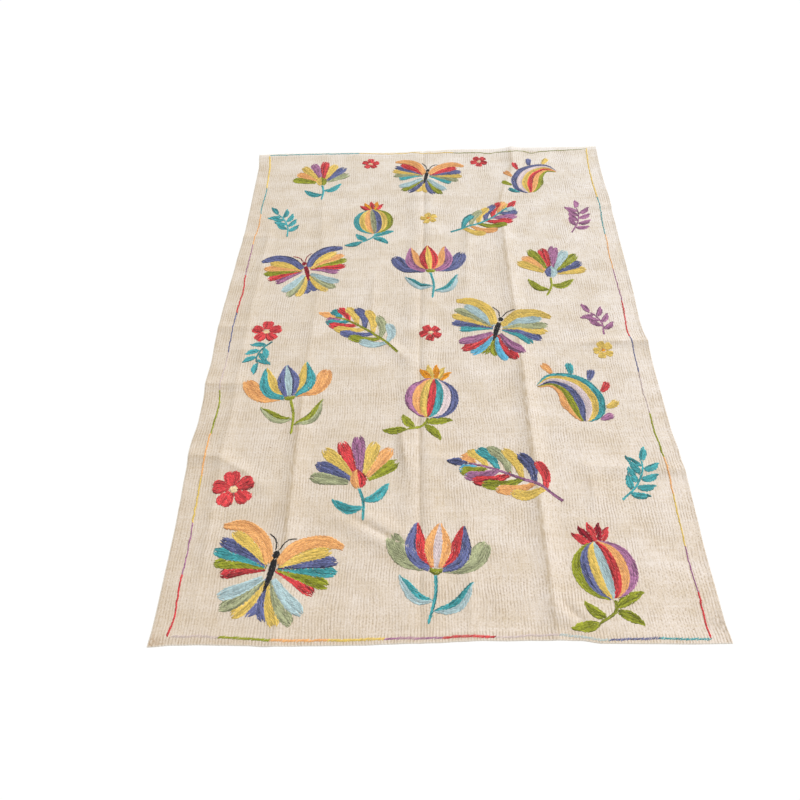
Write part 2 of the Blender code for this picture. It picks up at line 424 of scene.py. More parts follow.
@dataclass(frozen=True)
class RibbedCotton:
    """Undyed cotton, hand-spun and woven on a plain loom in thick ribs.

    The yarn is slubby, so each rib swells and thins along its way. To the eye that gives soft
    beige shadows between the ribs, painted on the cloth, some deep and some nearly closed, faint
    bands where the weft was beaten harder, and flecks of seed husk. In the hem the cloth is doubled
    and its ribs show as even ticks. A painted fall of light leaves the cloth darker and warmer at
    its near left and brightest at its far right, painted shade lies on the side of each fold that
    turns from the light, soil has settled at its near corners, and it is matt.
    """

    rib: float
    width: float
    length: float
    hem_width: float
    dash: float = 9.5
    # The cloth's colour with a painted fall of light, at its near left, near right, far left and far
    # right corners: darker and warmer at the near left, brightest at the far right.
    corners: tuple[str, str, str, str] = ("#E4D7C9", "#F6EBE2", "#EAE1D7", "#F8F3F0")
    worn: str = "#DCD0B6"
    # The colour of the painted light along the left edge and the end hems.
    fuzz: str = "#FCF6EA"
    shadow: str = "#A48C6E"
    husk: str = "#8A6238"
    rust: str = "#98703C"
    grime: str = "#8E7A5C"
    # The colour of the painted shade on the side of each fold that turns from the light.
    soil: str = "#B2986C"
    shadow_depth: float = 0.69
    soil_depth: float = 0.52
    grime_depth: float = 0.10
    right_grime: float = 0.8
    husk_depth: float = 0.8
    mean_wear: float = 0.42
    # How much more or less than elsewhere the two end hems are worn.
    near_hem: float = 0.05
    far_hem: float = -0.22
    # How strong the painted light along those edges is.
    fuzz_depth: float = 0.62
    roughness: float = 0.92

    def make(self) -> bpy.types.Material:
        """Build the woven cotton.

        Returns:
            The cloth's material.
        """
        cloth = FlatCloth("hand_woven_ribbed_cotton", self.width, self.length, self.hem_width)
        add = cloth.add
        shadows = self.shadows(cloth)
        crest, sheltered = self.folds(cloth)

        # The painted shade of the folds is fainter on the hems.
        stuck = add("MapRange", (cloth.hem, 0.0, 1.0, 1.0, 0.2), **EASED)
        settled = add("Math", (sheltered, stuck), operation="MULTIPLY")

        # Both side edges are a little darker and greyer, as is the right corner.
        to_side = add("Math", (cloth.x, cloth.from_right), operation="MINIMUM")
        edges = add("MapRange", (to_side, 13.0, 4.0, 0.0, self.grime_depth), **EASED)
        right = add("Math", (self.corner_soil(cloth, self.width - 3.0, 46.0), self.right_grime),
                    operation="MULTIPLY")
        handled = add("Math", (edges, right), operation="MAXIMUM")

        # Husk flecks are two or three millimetres long and far apart.
        fleck = add("MapRange", (cloth.noise(5.0), 0.70, 0.75, 0.0, self.husk_depth), **EASED)

        # Painted light along the left edge and the end hems brightens the cloth's rolled edge there,
        # furthest at the far hem.
        far_fuzz = add("Math", (cloth.from_far, 0.35), operation="MULTIPLY")
        to_hem = add("Math", (cloth.y, far_fuzz), operation="MINIMUM")
        to_edge = add("Math", (cloth.x, to_hem), operation="MINIMUM")
        frayed = add("MapRange", (to_edge, 3.6, 0.4, 0.0, self.fuzz_depth), **EASED)

        colour = self.toned(cloth)
        for tint, share in (
            (self.shadow, shadows), (self.soil, settled), (self.grime, handled),
            (self.rust, self.corner_soil(cloth, 0.0, 0.0)), (self.husk, fleck), (self.fuzz, frayed),
        ):
            colour = add("Mix", (share, colour, linear_colour(tint)), data_type="RGBA")

        # Folds have a sharp crest, and slubs stand up as small pillows with fibres over them.
        folded = add("Bump", {"Strength": 1.0, "Distance": MM, "Height": crest})
        pillow = add("Math", (shadows, -1.5, cloth.noise(1.25)), operation="MULTIPLY_ADD")
        bump = add("Bump", {"Strength": 0.55, "Distance": 0.8 * MM, "Height": pillow,
                            "Normal": folded})
        shader = add("BsdfPrincipled", {
            "Base Color": colour, "Roughness": self.roughness, "Normal": bump,
            "Specular IOR Level": 0.2, "Sheen Weight": 0.08, "Sheen Roughness": 0.6,
        })
        add("OutputMaterial", (shader,))
        return cloth.material

    def toned(self, cloth: FlatCloth) -> Socket:
        """Wear the cloth unevenly over its colour and painted fall of light: streaks along the ribs,
        blotches, and bands of the weft.

        Args:
            cloth: The start of its material.

        Returns:
            The toned colour.
        """
        add = cloth.add
        more = add("MapRange", (cloth.along, 0.0, 1.0, self.near_hem, self.far_hem), **EASED)
        wear = add("Math", (cloth.hem, more, self.mean_wear), operation="MULTIPLY_ADD")
        # The width and length of each kind of wear, and how far it reaches.
        for across, along, reach in (
            (2.6, 3.6, 0.48), (5.5, 40.0, 0.20), (24.0, 24.0, 0.05), (260.0, 7.0, 0.17),
            (60.0, 60.0, 0.08), (110.0, 70.0, 0.27),
        ):
            noise = cloth.noise(across, along)
            share = add("MapRange", (noise, 0.28, 0.72, -reach / 2, reach / 2), **EASED)
            wear = add("Math", (wear, share), operation="ADD")

        # The cloth's colour and its painted fall of light are blended between its four corners.
        near_left, near_right, far_left, far_right = map(linear_colour, self.corners)
        near = add("Mix", (cloth.across, near_left, near_right), data_type="RGBA")
        far = add("Mix", (cloth.across, far_left, far_right), data_type="RGBA")
        clean = add("Mix", (cloth.along, near, far), data_type="RGBA")
        return add("Mix", (wear, clean, linear_colour(self.worn)), data_type="RGBA",
                   blend_type="MULTIPLY")

    def shadows(self, cloth: FlatCloth) -> Socket:
        """Draw the shadow between neighbouring ribs, which opens and closes along its way.

        Args:
            cloth: The start of the cloth's material.

        Returns:
            The depth of the shadow, from 0 to 1.
        """
        add = cloth.add
        # Hand-spun ribs bend to and fro by a millimetre or two.
        bend = add("Math", (cloth.noise(26.0, 34.0), 7.0, cloth.x), operation="MULTIPLY_ADD")
        ribs = add("Math", (bend, self.rib), operation="DIVIDE")
        gap = add("Math", (ribs,), operation="ROUND")
        aside = add("Math", (ribs, gap), operation="SUBTRACT")
        away = add("Math", (aside,), operation="ABSOLUTE")
        line = add("MapRange", (away, 0.34, 0.03), **EASED)

        # Each gap opens and closes in its own way, and more so in some patches than others.
        own = add("CombineXYZ", (
            add("Math", (gap, 0.73), operation="MULTIPLY"),
            add("Math", (cloth.y, 15.0), operation="DIVIDE"),
        ))
        opening = add("TexNoise", {"Vector": own, "Scale": 1.0, "Detail": 2.0})

        # In patches the slubs of neighbouring ribs break the shadow into rows of short dashes,
        # and in some of these the rows of every other rib lie half a step on.
        drift = add("Math", (cloth.noise(34.0, 20.0), 21.0, cloth.y), operation="MULTIPLY_ADD")
        patch = cloth.noise(90.0)
        bricks = add("MapRange", (patch, 0.44, 0.52, 0.0, math.pi), **EASED)
        shift = add("Math", (gap, bricks), operation="MULTIPLY")
        turns = add("Math", (drift, 2.0 * math.pi / self.dash, shift), operation="MULTIPLY_ADD")
        wave = add("Math", (turns,), operation="SINE")
        dashed = add("MapRange", (patch, 0.38, 0.60, 0.04, 0.14), **EASED)
        beat = add("Math", (wave, dashed), operation="MULTIPLY")

        opened = add("Math", (add("Math", (opening, beat), operation="ADD"), cloth.noise(70.0)),
                     operation="ADD")
        full = self.shadow_depth
        fullest = add("MapRange", (cloth.across, 0.0, 1.0, 0.72 * full, 0.94 * full), **EASED)
        open_share = add("MapRange", (opened, 0.72, 1.36, 0.05, 1.0), **EASED)
        depth = add("Math", (fullest, open_share), operation="MULTIPLY")
        even = add("MapRange", (opening, 0.25, 0.75, 0.30 * full, full), **EASED)
        paler = add("MapRange", (cloth.along, 0.0, 1.0, 1.0, 0.30), **EASED)
        even = add("Math", (even, paler), operation="MULTIPLY")
        ticks = add("Mix", (cloth.hem, depth, even))
        return add("Math", (line, ticks), operation="MULTIPLY")

    def folds(self, cloth: FlatCloth) -> tuple[Socket, Socket]:
        """Draw the sharp line of each fold.

        Args:
            cloth: The start of the cloth's material.

        Returns:
            The height of its crest in millimetres, and the painted shade on the side that turns from
            the light.
        """
        add = cloth.add
        beside = add("Attribute", attribute_name=FOLD_PLACE).node.outputs["Vector"]
        away, rise, kind = add("SeparateXYZ", (beside,)).node.outputs
        distance = add("Math", (away,), operation="ABSOLUTE")
        edge = add("MapRange", (distance, 10.0, 0.0), **EASED)
        sharp = add("Math", (edge, rise), operation="MULTIPLY")
        upward = add("Math", (kind, 0.03), operation="MULTIPLY")
        crest = add("Math", (sharp, upward), operation="MULTIPLY")

        # Painted shade lies in a wandering band on the side of the fold that turns from the light.
        from_line = add("Math", (away, 8.0), operation="SUBTRACT")
        wandering = add("Math", (cloth.noise(26.0), 16.0, from_line), operation="MULTIPLY_ADD")
        soil = add("MapRange", (rise, 0.6, 6.5, 0.0, self.soil_depth), **EASED)
        for share in (
            add("MapRange", (wandering, -26.0, -4.0), **EASED),
            add("MapRange", (wandering, 5.0, -4.0), **EASED),
            add("MapRange", (cloth.noise(7.0, 26.0), 0.30, 0.66, 0.15, 1.0), **EASED),
        ):
            soil = add("Math", (soil, share), operation="MULTIPLY")
        return crest, soil

    def corner_soil(self, cloth: FlatCloth, x: float, y: float) -> Socket:
        """Fleck one near corner, which is handled more than the rest.

        Args:
            cloth: The start of the cloth's material.
            x: Where the soil is thickest, across the rug.
            y: The same, along it.

        Returns:
            How much of it there is.
        """
        add = cloth.add
        from_corner = add("VectorMath", (cloth.place, (x, y, 0.0)), operation="DISTANCE")
        near = add("MapRange", (from_corner, 46.0, 6.0), **EASED)
        speckled = add("MapRange", (cloth.noise(6.0, 8.0), 0.38, 0.66, 0.08, 0.62), **EASED)
        return add("Math", (near, speckled), operation="MULTIPLY")


class Yarn(Enum):
    """The dyed yarns, each with the colour it shows in plain daylight."""

    TEAL = "#48A1A6"
    OLIVE = "#959A2B"
    SAGE = "#A7AB85"
    BLUE = "#626893"
    PURPLE = "#A77096"
    RED = "#CE4145"
    ORANGE = "#FAAE6E"
    YELLOW = "#DFC063"
    PALE_BLUE = "#B0C7CA"
    PALE_PINK = "#E0CFCF"
    SKY = "#62B1D0"
    AMBER = "#F59A1E"
    DEEP_RED = "#8E1528"
    BLACK = "#1E1E22"
    CREAM = "#ECD3A6"

    @property
    def label(self) -> str:
        """The yarn's name, as materials and pieces are named."""
        return self.name.lower()


@dataclass(frozen=True)
class StrandedYarn:
    """Embroidery yarn: dyed, loosely spun strands that lie side by side in each stitch.

    Strands catch a soft light along their length. Painted shade darkens each stitch where it
    dives into the cloth and along its sides, between stitches, and each stitch took the dye a
    little differently. Pale yarns vary less than dark ones.
    """

    yarn: Yarn
    dark_reach: float = 0.62
    pale_reach: float = 0.66
    deepening: float = 1.34
    strand: float = 0.9
    roughness: float = 0.72

    def shade(self, turn: float) -> Colour:
        """The yarn's colour, made lighter by a share of its reach, or deeper if below zero."""
        red, green, blue, _ = linear_colour(self.yarn.value)
        lightness = 0.2126 * red + 0.7152 * green + 0.0722 * blue
        share = 1.0 + turn * (self.dark_reach - self.pale_reach * lightness)
        return min(red * share, 1.0), min(green * share, 1.0), min(blue * share, 1.0), 1.0

    def make(self) -> bpy.types.Material:
        """Build the yarn's material.

        Returns:
            The material.
        """
        material, add = new_material(f"stranded_yarn_{self.yarn.label}")
        # Each stitch's own tone, with the painted shade at its ends and sides.
        tone = add("Attribute", attribute_name=STITCH_TONE).node.outputs["Fac"]
        place = add("Attribute", attribute_name=YARN_PLACE).node.outputs["Vector"]
        # Strands are fine across the stitch and long along it.
        drawn_out = add("Mapping", {"Vector": place, "Scale": (0.12, 1.0 / self.strand, 1.0)})
        strands = add("TexNoise", {"Vector": drawn_out, "Scale": 1.0, "Detail": 2.0})
        mixed = add("Math", (strands, 0.55, -0.12), operation="MULTIPLY_ADD")
        share = add("Math", (mixed, tone), operation="ADD", use_clamp=True)
        dyed = add("Mix", (share, self.shade(-self.deepening), self.shade(1.0)),
                   data_type="RGBA")
        bump = add("Bump", {"Strength": 0.5, "Distance": 0.4 * MM, "Height": strands})
        shader = add("BsdfPrincipled", {
            "Base Color": dyed, "Roughness": self.roughness, "Normal": bump,
            "Specular IOR Level": 0.3, "Sheen Weight": 0.12, "Sheen Roughness": 0.45,
        })
        add("OutputMaterial", (shader,))
        return material


@dataclass(frozen=True)
class LitFloor:
    """A studio floor of matt opal acrylic, lit from below so that no shadow shows on it.

    It gives light and reflects next to none, so it is white but never brighter than white, and
    the cloth's edge stays as soft against it as in the photo.
    """

    paint: str = "#FAFAFA"
    grain: str = "#F7F7F7"
    unlit: str = "#050505"
    glow: float = 1.08
    grains_in_a_metre: float = 60.0

    def make(self) -> bpy.types.Material:
        """Build the floor's acrylic.

        Returns:
            The material.
        """
        material, add = new_material("lit_opal_acrylic")
        place = add("TexCoord").node.outputs["Object"]
        grain = add("TexNoise", {"Vector": place, "Scale": self.grains_in_a_metre})
        paint = add("Mix", (grain, linear_colour(self.paint), linear_colour(self.grain)),
                    data_type="RGBA")
        shader = add("BsdfPrincipled", {
            "Base Color": linear_colour(self.unlit), "Roughness": 1.0,
            "Specular IOR Level": 0.0, "Emission Color": paint, "Emission Strength": self.glow,
        })
        add("OutputMaterial", (shader,))
        return material


def new_piece(
    name: str, points: np.ndarray, faces: list[list[int]], material: bpy.types.Material
) -> bpy.types.Object:
    """Make a smooth-shaded mesh piece and put it in the scene.

    Args:
        name: The piece's name.
        points: Its points, in metres.
        faces: Its faces, as lists of point numbers.
        material: Its one material.

    Returns:
        The new piece.
    """
    mesh = bpy.data.meshes.new(name)
    mesh.from_pydata(points.tolist(), [], faces)
    mesh.shade_smooth()
    mesh.materials.append(material)
    piece = bpy.data.objects.new(name, mesh)
    bpy.context.scene.collection.objects.link(piece)
    return piece


def add_numbers(piece: bpy.types.Object, name: str, values: np.ndarray) -> None:
    """Store a number or a vector for each point of a piece, for its material to read."""
    flat = values.ndim == 1
    kind = "FLOAT" if flat else "FLOAT_VECTOR"
    layer = piece.data.attributes.new(name, kind, "POINT")
    layer.data.foreach_set("value" if flat else "vector", values.astype(np.float32).ravel())


def corner_points(piece: bpy.types.Object) -> np.ndarray:
    """List the point that lies at each corner of each face of a piece."""
    corners = np.zeros(len(piece.data.loops), dtype=np.int64)
    piece.data.loops.foreach_get("vertex_index", corners)
    return corners


def add_bake_map(piece: bpy.types.Object, places: np.ndarray) -> None:
    """Give a piece its own flat map, from a place for each corner of each face."""
    layer = piece.data.uv_layers.new(name=BAKE_MAP)
    layer.uv.foreach_set("vector", places.astype(np.float32).ravel())


@dataclass
class CottonCloth:
    """The ribbed cloth with its pressed hems, as one closed sheet."""

    ground: Ground
    ribs: int = 182
    columns_in_rib: int = 3
    rows: int = 150
    columns_below: int = 6
    rows_below: int = 2
    groove: float = 0.22
    # The share of a rib's relief that the pressed end hems take away.
    hem_pressed: float = 0.45
    hem_width: float = 21.0
    side_hem_width: float = 9.0
    hem_rise: float = 0.5
    hem_round: float = 1.4
    # How far from each end the row next to it lies.
    hem_step: float = 1.5
    # The rings of points round the hem's edge: how far out, and at what share of its height.
    hem_rings: tuple[Point, ...] = ((1.0, 0.86), (0.55, 0.06))
    # Rows lie closer together where folds cross the rug, which is at these places along it.
    crossings: tuple[float, ...] = (436, 30, -184, -424, -468, 562, -54, -476, -640, -850)
    crossing_reach: float = 42.0
    name: str = "rug_cloth"

    @property
    def rib(self) -> float:
        """Width of one rib."""
        return self.ground.width / self.ribs

    def row_levels(self) -> np.ndarray:
        """Place the rows along the rug, closer together at its folds and its end hems.

        Returns:
            Where the rows lie, from the near end to the far one.
        """
        half = self.ground.length / 2 - self.hem_round
        fine = np.linspace(-half, half, 3000)
        density = np.full(fine.shape, 1.0)
        for crossing in self.crossings:
            density += 1.4 * np.exp(-(((fine - crossing) / self.crossing_reach) ** 2))
        for hem in (half - self.hem_width, self.hem_width - half):
            density += 5.0 * np.exp(-(((fine - hem) / 6.0) ** 2))
        total = np.concatenate(([0.0], np.cumsum((density[1:] + density[:-1]) / 2)))
        levels = np.interp(np.linspace(0.0, total[-1], self.rows - 1), total, fine)
        first, last = self.hem_step - half, half - self.hem_step
        return np.concatenate(([-half, first], levels[1:-1], [last, half]))

    def wander(self, x: np.ndarray, y: np.ndarray) -> np.ndarray:
        """How far the ribs wander sideways: a hand loom never beats them quite straight."""
        inside = smooth_step((self.ground.width / 2 - np.abs(x)) / 60.0)
        swing = (
            1.9 * np.sin(y / 71.0 + x / 190.0)
            + 1.3 * np.sin(y / 33.0 - x / 87.0 + 1.7)
            + 0.8 * np.sin(y / 19.0 + x / 41.0 + 4.1)
        )
        return inside * swing

    def build(self) -> bpy.types.Object:
        """Make the cloth's mesh and dress it.

        Returns:
            The cloth piece.
        """
        ground = self.ground
        columns = self.ribs * self.columns_in_rib
        half = np.array([ground.width, ground.length]) / 2
        inset = half - self.hem_round
        grid_x, grid_y = np.meshgrid(
            np.linspace(-inset[0], inset[0], columns + 1), self.row_levels()
        )
        step = np.arange(columns + 1) % self.columns_in_rib
        relief = np.where(step == 0, -self.groove, self.groove / 2)[None, :]
        end_hem = smooth_step((self.hem_width + 3.0 - half[1] + np.abs(grid_y)) / 6.0)
        side_hem = smooth_step((self.side_hem_width + 2.0 - half[0] + np.abs(grid_x)) / 4.0)
        hem = self.hem_rise * np.maximum(end_hem, side_hem)
        ribbed = relief * (1.0 - self.hem_pressed * end_hem) + hem

        plan_x = grid_x + self.wander(grid_x, grid_y)
        top = ground.laid(plan_x, grid_y, ground.top(plan_x, grid_y) + ribbed)
        plan = np.stack((grid_x, grid_y), axis=-1)

        # The upper side, the rings round the hem, and the coarser underside.
        points = [top.reshape(-1, 3)]
        plans = [plan.reshape(-1, 2)]
        loop = self.boundary(self.rows, columns)
        edge_plan = plan[loop[:, 0], loop[:, 1]]
        levels = [(edge_plan * (1.0 + (half / inset - 1.0) * out), share)
                  for out, share in self.hem_rings]
        low_rows = np.arange(self.rows_below, self.rows, self.rows_below)
        low_columns = np.arange(self.columns_below, columns, self.columns_below)
        levels.append((plan[np.ix_(low_rows, low_columns)].reshape(-1, 2), 0.0))
        for level, share in levels:
            height = ground.lift(*level.T) + share * ground.thickness
            points.append(ground.laid(*level.T, height))
            plans.append(level)

        faces, upper_count = self.faces(columns, loop)
        finish = RibbedCotton(self.rib, ground.width, ground.length, self.hem_width)
        cloth = new_piece(self.name, np.concatenate(points), faces, finish.make())
        # Smooth shading would draw a dark line along the hem's narrow edge.
        for number in range(self.rows * columns, upper_count):
            cloth.data.polygons[number].use_smooth = False
        plans = np.concatenate(plans)
        flat = np.concatenate((plans + half, np.zeros((len(plans), 1))), axis=1)
        add_numbers(cloth, FLAT_PLACE, flat)
        x, y = plans.T
        add_numbers(cloth, FOLD_PLACE, ground.fold_place(x + self.wander(x, y), y))
        self.map_for_bake(cloth, flat, upper_count)
        return cloth

    @staticmethod
    def boundary(rows: int, columns: int) -> np.ndarray:
        """List the grid places round the hem, anticlockwise from the near left corner."""
        near = [(0, column) for column in range(columns)]
        right = [(row, columns) for row in range(rows)]
        far = [(rows, column) for column in range(columns, 0, -1)]
        left = [(row, 0) for row in range(rows, 0, -1)]
        return np.array(near + right + far + left)

    def faces(self, columns: int, loop: np.ndarray) -> tuple[list[list[int]], int]:
        """List the faces of the upper side, the rounded hem and the coarser underside.

        Args:
            columns: How many columns the upper grid has.
            loop: The grid places round the hem.

        Returns:
            The faces, and how many of them belong to the upper side and the hem.
        """
        across = columns + 1
        first = (np.arange(self.rows)[:, None] * across + np.arange(columns)).ravel()
        faces = np.stack((first, first + 1, first + 1 + across, first + across), axis=1).tolist()

        size = (self.rows + 1) * across
        hem = loop[:, 0] * across + loop[:, 1]
        count = len(loop)
        outer = size + np.arange(count)
        inner = outer + count
        for high, low in ((hem, outer), (outer, inner)):
            ring = np.stack((high, low, np.roll(low, -1), np.roll(high, -1)), axis=1)
            faces += ring.tolist()
        upper_count = len(faces)

        # The numbers of the underside's points, each at its place in the upper grid.
        low_rows = range(0, self.rows + 1, self.rows_below)
        low_columns = range(0, across, self.columns_below)
        inside = np.arange((len(low_rows) - 2) * (len(low_columns) - 2))
        numbers = np.zeros((self.rows + 1, across), dtype=np.int64)
        numbers[loop[:, 0], loop[:, 1]] = inner
        numbers[np.ix_(low_rows[1:-1], low_columns[1:-1])] = (
            size + 2 * count + inside.reshape(len(low_rows) - 2, -1)
        )
        for near, far in zip(low_rows, low_rows[1:]):
            for left, right in zip(low_columns, low_columns[1:]):
                corners = [(near, left), (far, left), (far, right), (near, right)]
                face = []
                for start, end in zip(corners, corners[1:] + corners[:1]):
                    face += [int(numbers[place]) for place in self.between(start, end, columns)]
                faces.append(face)
        return faces, upper_count

    def between(
        self, start: tuple[int, int], end: tuple[int, int], columns: int
    ) -> list[tuple[int, int]]:
        """List the places of the upper grid along one side of a coarse cell.

        Args:
            start: The corner it starts from.
            end: The corner up to which it goes.
            columns: How many columns the upper grid has.

        Returns:
            The start and, at the hem, every place between the two corners.
        """
        at_hem = (
            start[0] == end[0] and start[0] in (0, self.rows)
            or start[1] == end[1] and start[1] in (0, columns)
        )
        if not at_hem:
            return [start]
        steps = abs(end[0] - start[0]) + abs(end[1] - start[1])
        row_step = (end[0] - start[0]) // steps
        column_step = (end[1] - start[1]) // steps
        return [(start[0] + row_step * k, start[1] + column_step * k) for k in range(steps)]

    def map_for_bake(self, cloth: bpy.types.Object, flat: np.ndarray, upper_count: int) -> None:
        """Lay the upper side and the underside next to each other in one flat map.

        Args:
            cloth: The cloth piece.
            flat: Where each of its points lies in the flat cloth.
            upper_count: How many of its faces belong to the upper side and the hem.
        """
        corners = corner_points(cloth)
        first_below = cloth.data.polygons[upper_count].loop_start
        across, along = (flat[corners, :2] / (self.ground.width, self.ground.length)).T.clip(0, 1)
        # The underside shows little, so it has the last sixth of the map.
        below = np.arange(len(corners)) >= first_below
        u = np.where(below, 0.83 + 0.165 * across, 0.005 + 0.81 * across)
        add_bake_map(cloth, np.stack((u, 0.004 + 0.992 * along), axis=1))


def smooth_curve(points: Sequence[Point], step: float = 2.0) -> np.ndarray:
    """Draw an even curve through a few points.

    Args:
        points: The points that it passes.
        step: The distance between the points of the result.

    Returns:
        The curve, as rows of x and y.
    """
    knots = np.array(points, dtype=float)
    padded = np.concatenate((2 * knots[:1] - knots[1:2], knots, 2 * knots[-1:] - knots[-2:-1]))
    share = np.linspace(0.0, 1.0, 24, endpoint=False)[:, None]
    parts = []
    for before, start, end, after in zip(padded, padded[1:], padded[2:], padded[3:]):
        parts.append(0.5 * (
            2 * start + (end - before) * share
            + (2 * before - 5 * start + 4 * end - after) * share**2
            + (3 * start - before - 3 * end + after) * share**3
        ))
    dense = np.concatenate(parts + [knots[-1:]])
    reach = along_line(dense)
    count = max(int(round(reach[-1] / step)), 2)
    marks = np.linspace(0.0, reach[-1], count + 1)
    return np.stack([np.interp(marks, reach, dense[:, axis]) for axis in (0, 1)], axis=1)


def along_line(line: np.ndarray) -> np.ndarray:
    """Distance from the start of a line to each of its points."""
    steps = np.hypot(*np.diff(line, axis=0).T)
    return np.concatenate(([0.0], np.cumsum(steps)))


class Profile(Enum):
    """How a stitched shape swells along its spine: shares of the way and of the half width."""

    LEAF = ((0.0, 0.10), (0.2, 0.66), (0.45, 1.0), (0.75, 0.70), (1.0, 0.04))
    FEATHER = ((0.0, 0.30), (0.3, 0.66), (0.7, 1.0), (0.88, 0.85), (1.0, 0.30))
    PETAL = ((0.0, 0.30), (0.35, 0.74), (0.7, 1.0), (0.9, 0.76), (1.0, 0.34))
    POINTED_PETAL = ((0.0, 0.42), (0.3, 0.92), (0.55, 1.0), (0.85, 0.48), (1.0, 0.05))
    EDGE = ((0.0, 0.55), (0.4, 1.0), (0.8, 0.86), (1.0, 0.35))
    SPINDLE = ((0.0, 0.12), (0.3, 0.62), (0.75, 1.0), (1.0, 0.55))
    ROUND = ((0.0, 0.16), (0.06, 0.48), (0.16, 0.75), (0.3, 0.93), (0.5, 1.0),
             (0.7, 0.93), (0.84, 0.75), (0.94, 0.48), (1.0, 0.16))
    DROP = ((0.0, 0.20), (0.05, 0.52), (0.14, 0.82), (0.3, 1.0), (0.5, 0.88),
            (0.7, 0.58), (0.88, 0.26), (1.0, 0.05))
    STEM = ((0.0, 1.0), (0.6, 0.9), (1.0, 0.6))

    def at(self, share: np.ndarray) -> np.ndarray:
        """Share of the half width at shares of the way along the spine."""
        ways, widths = zip(*self.value)
        return np.interp(share, ways, widths)


@dataclass(frozen=True)
class Patch:
    """A shape filled with rows of stitches that run along its curved spine."""

    spine: tuple[Point, ...]
    half_width: float
    yarns: tuple[Yarn, ...]
    profile: Profile = Profile.LEAF
    # The rows end unevenly, by up to this much.
    ragged: float = 2.0

    def mirrored(self) -> "Patch":
        """The same patch on the other side of the motif."""
        spine = tuple((-x, y) for x, y in self.spine)
        return Patch(spine, self.half_width, self.yarns[::-1], self.profile, self.ragged)


def both_hands(*patches: Patch) -> Iterable[Patch]:
    """Give each patch, and then the same one on the motif's other side."""
    for patch in patches:
        yield patch
        yield patch.mirrored()


@dataclass(frozen=True)
class Spot:
    """Where a motif is sewn: its middle, its turn in degrees, its size and its hand."""

    x: float
    y: float
    turn: float = 0.0
    size: float = 1.0
    flip: bool = False

    def on_rug(self, points: np.ndarray) -> np.ndarray:
        """Turn points of the motif's own drawing into points of the rug's plan."""
        drawn = points * np.array([-self.size if self.flip else self.size, self.size])
        angle = math.radians(self.turn)
        cosine, sine = math.cos(angle), math.sin(angle)
        turned = drawn @ np.array([[cosine, sine], [-sine, cosine]])
        return turned + np.array([self.x, self.y])


def from_here(origin: Point, degrees: float, distance: float) -> Point:
    """The point at a distance from another, in a direction."""
    angle = math.radians(degrees)
    return origin[0] + distance * math.cos(angle), origin[1] + distance * math.sin(angle)


def bowed(
    foot: Point, heading: float, reach: float, bow: float, at: float = 0.5
) -> tuple[Point, Point, Point]:
    """A spine from a foot, which bows to its left at a share of its way."""
    middle = from_here(from_here(foot, heading, at * reach), heading + 90.0, bow)
    return foot, middle, from_here(foot, heading, reach)


def heading_at(line: np.ndarray, index: int, behind: int, ahead: int) -> float:
    """Which way a line heads, in degrees, between the points behind and ahead of one of its own."""
    way = line[min(index + ahead, len(line) - 1)] - line[index - behind]
    return math.degrees(math.atan2(way[1], way[0]))


def fan(
    origin: Point,
    angles: Sequence[float],
    lengths: Sequence[float],
    half_width: float,
    yarns: Sequence[Yarn],
    bend: float = 0.0,
    start: float = 9.0,
    ragged: float = 5.0,
    profile: Profile = Profile.FEATHER,
) -> list[Patch]:
    """Spread patches out from one point.

    Args:
        origin: The point that they spread from.
        angles: Their directions, in degrees.
        lengths: How far each reaches.
        half_width: Half the width of each.
        yarns: The yarn of each.
        bend: How far the middle of each bows to its left.
        start: How far from the origin each begins.
        ragged: How unevenly their rows end.
        profile: How each swells.

    Returns:
        The patches.
    """
    patches = []
    for angle, length, yarn in zip(angles, lengths, yarns):
        _, middle, end = bowed(origin, angle, length, bend, 0.55)
        spine = (from_here(origin, angle, start), middle, end)
        patches.append(Patch(spine, half_width, (yarn,), profile, ragged))
    return patches


class Motif(Protocol):
    """Anything that can be sewn on the rug."""

    def patches(self) -> Iterable[Patch]:
        """The motif's patches, those on top first."""


@dataclass(frozen=True)
class Butterfly:
    """A butterfly seen from above, its wings made of feathered stripes."""

    edge: Yarn
    upper: tuple[Yarn, ...]
    lower: tuple[Yarn, ...]
    body: Yarn = Yarn.BLACK

    def patches(self) -> Iterable[Patch]:
        """Draw the motif.

        Returns:
            Body and feelers first, then the leading edges, then the feathers.
        """
        yield Patch(((0, -46), (0, 0), (0, 32)), 8.0, (self.body,), Profile.SPINDLE)
        yield Patch(((0, 33), (0, 53)), 8.5, (self.body,), Profile.ROUND, 0.5)
        wing = [
            Patch(((4, 52), (13, 76), (33, 90)), 1.4, (self.body,), Profile.STEM),
            Patch(((9, 18), (40, 68), (90, 96), (142, 88)), 16.0, (self.edge,), Profile.EDGE),
        ]
        wing += fan((4, 10), (31, 18, 6, -7, -20), (130, 140, 138, 128, 110), 15.0,
                    self.upper, bend=5.0, ragged=9.0)
        wing += fan((3, -8), (-36, -51, -66, -80), (114, 122, 114, 98), 15.0,
                    self.lower, bend=-6.0, ragged=9.0)
        yield from both_hands(*wing)


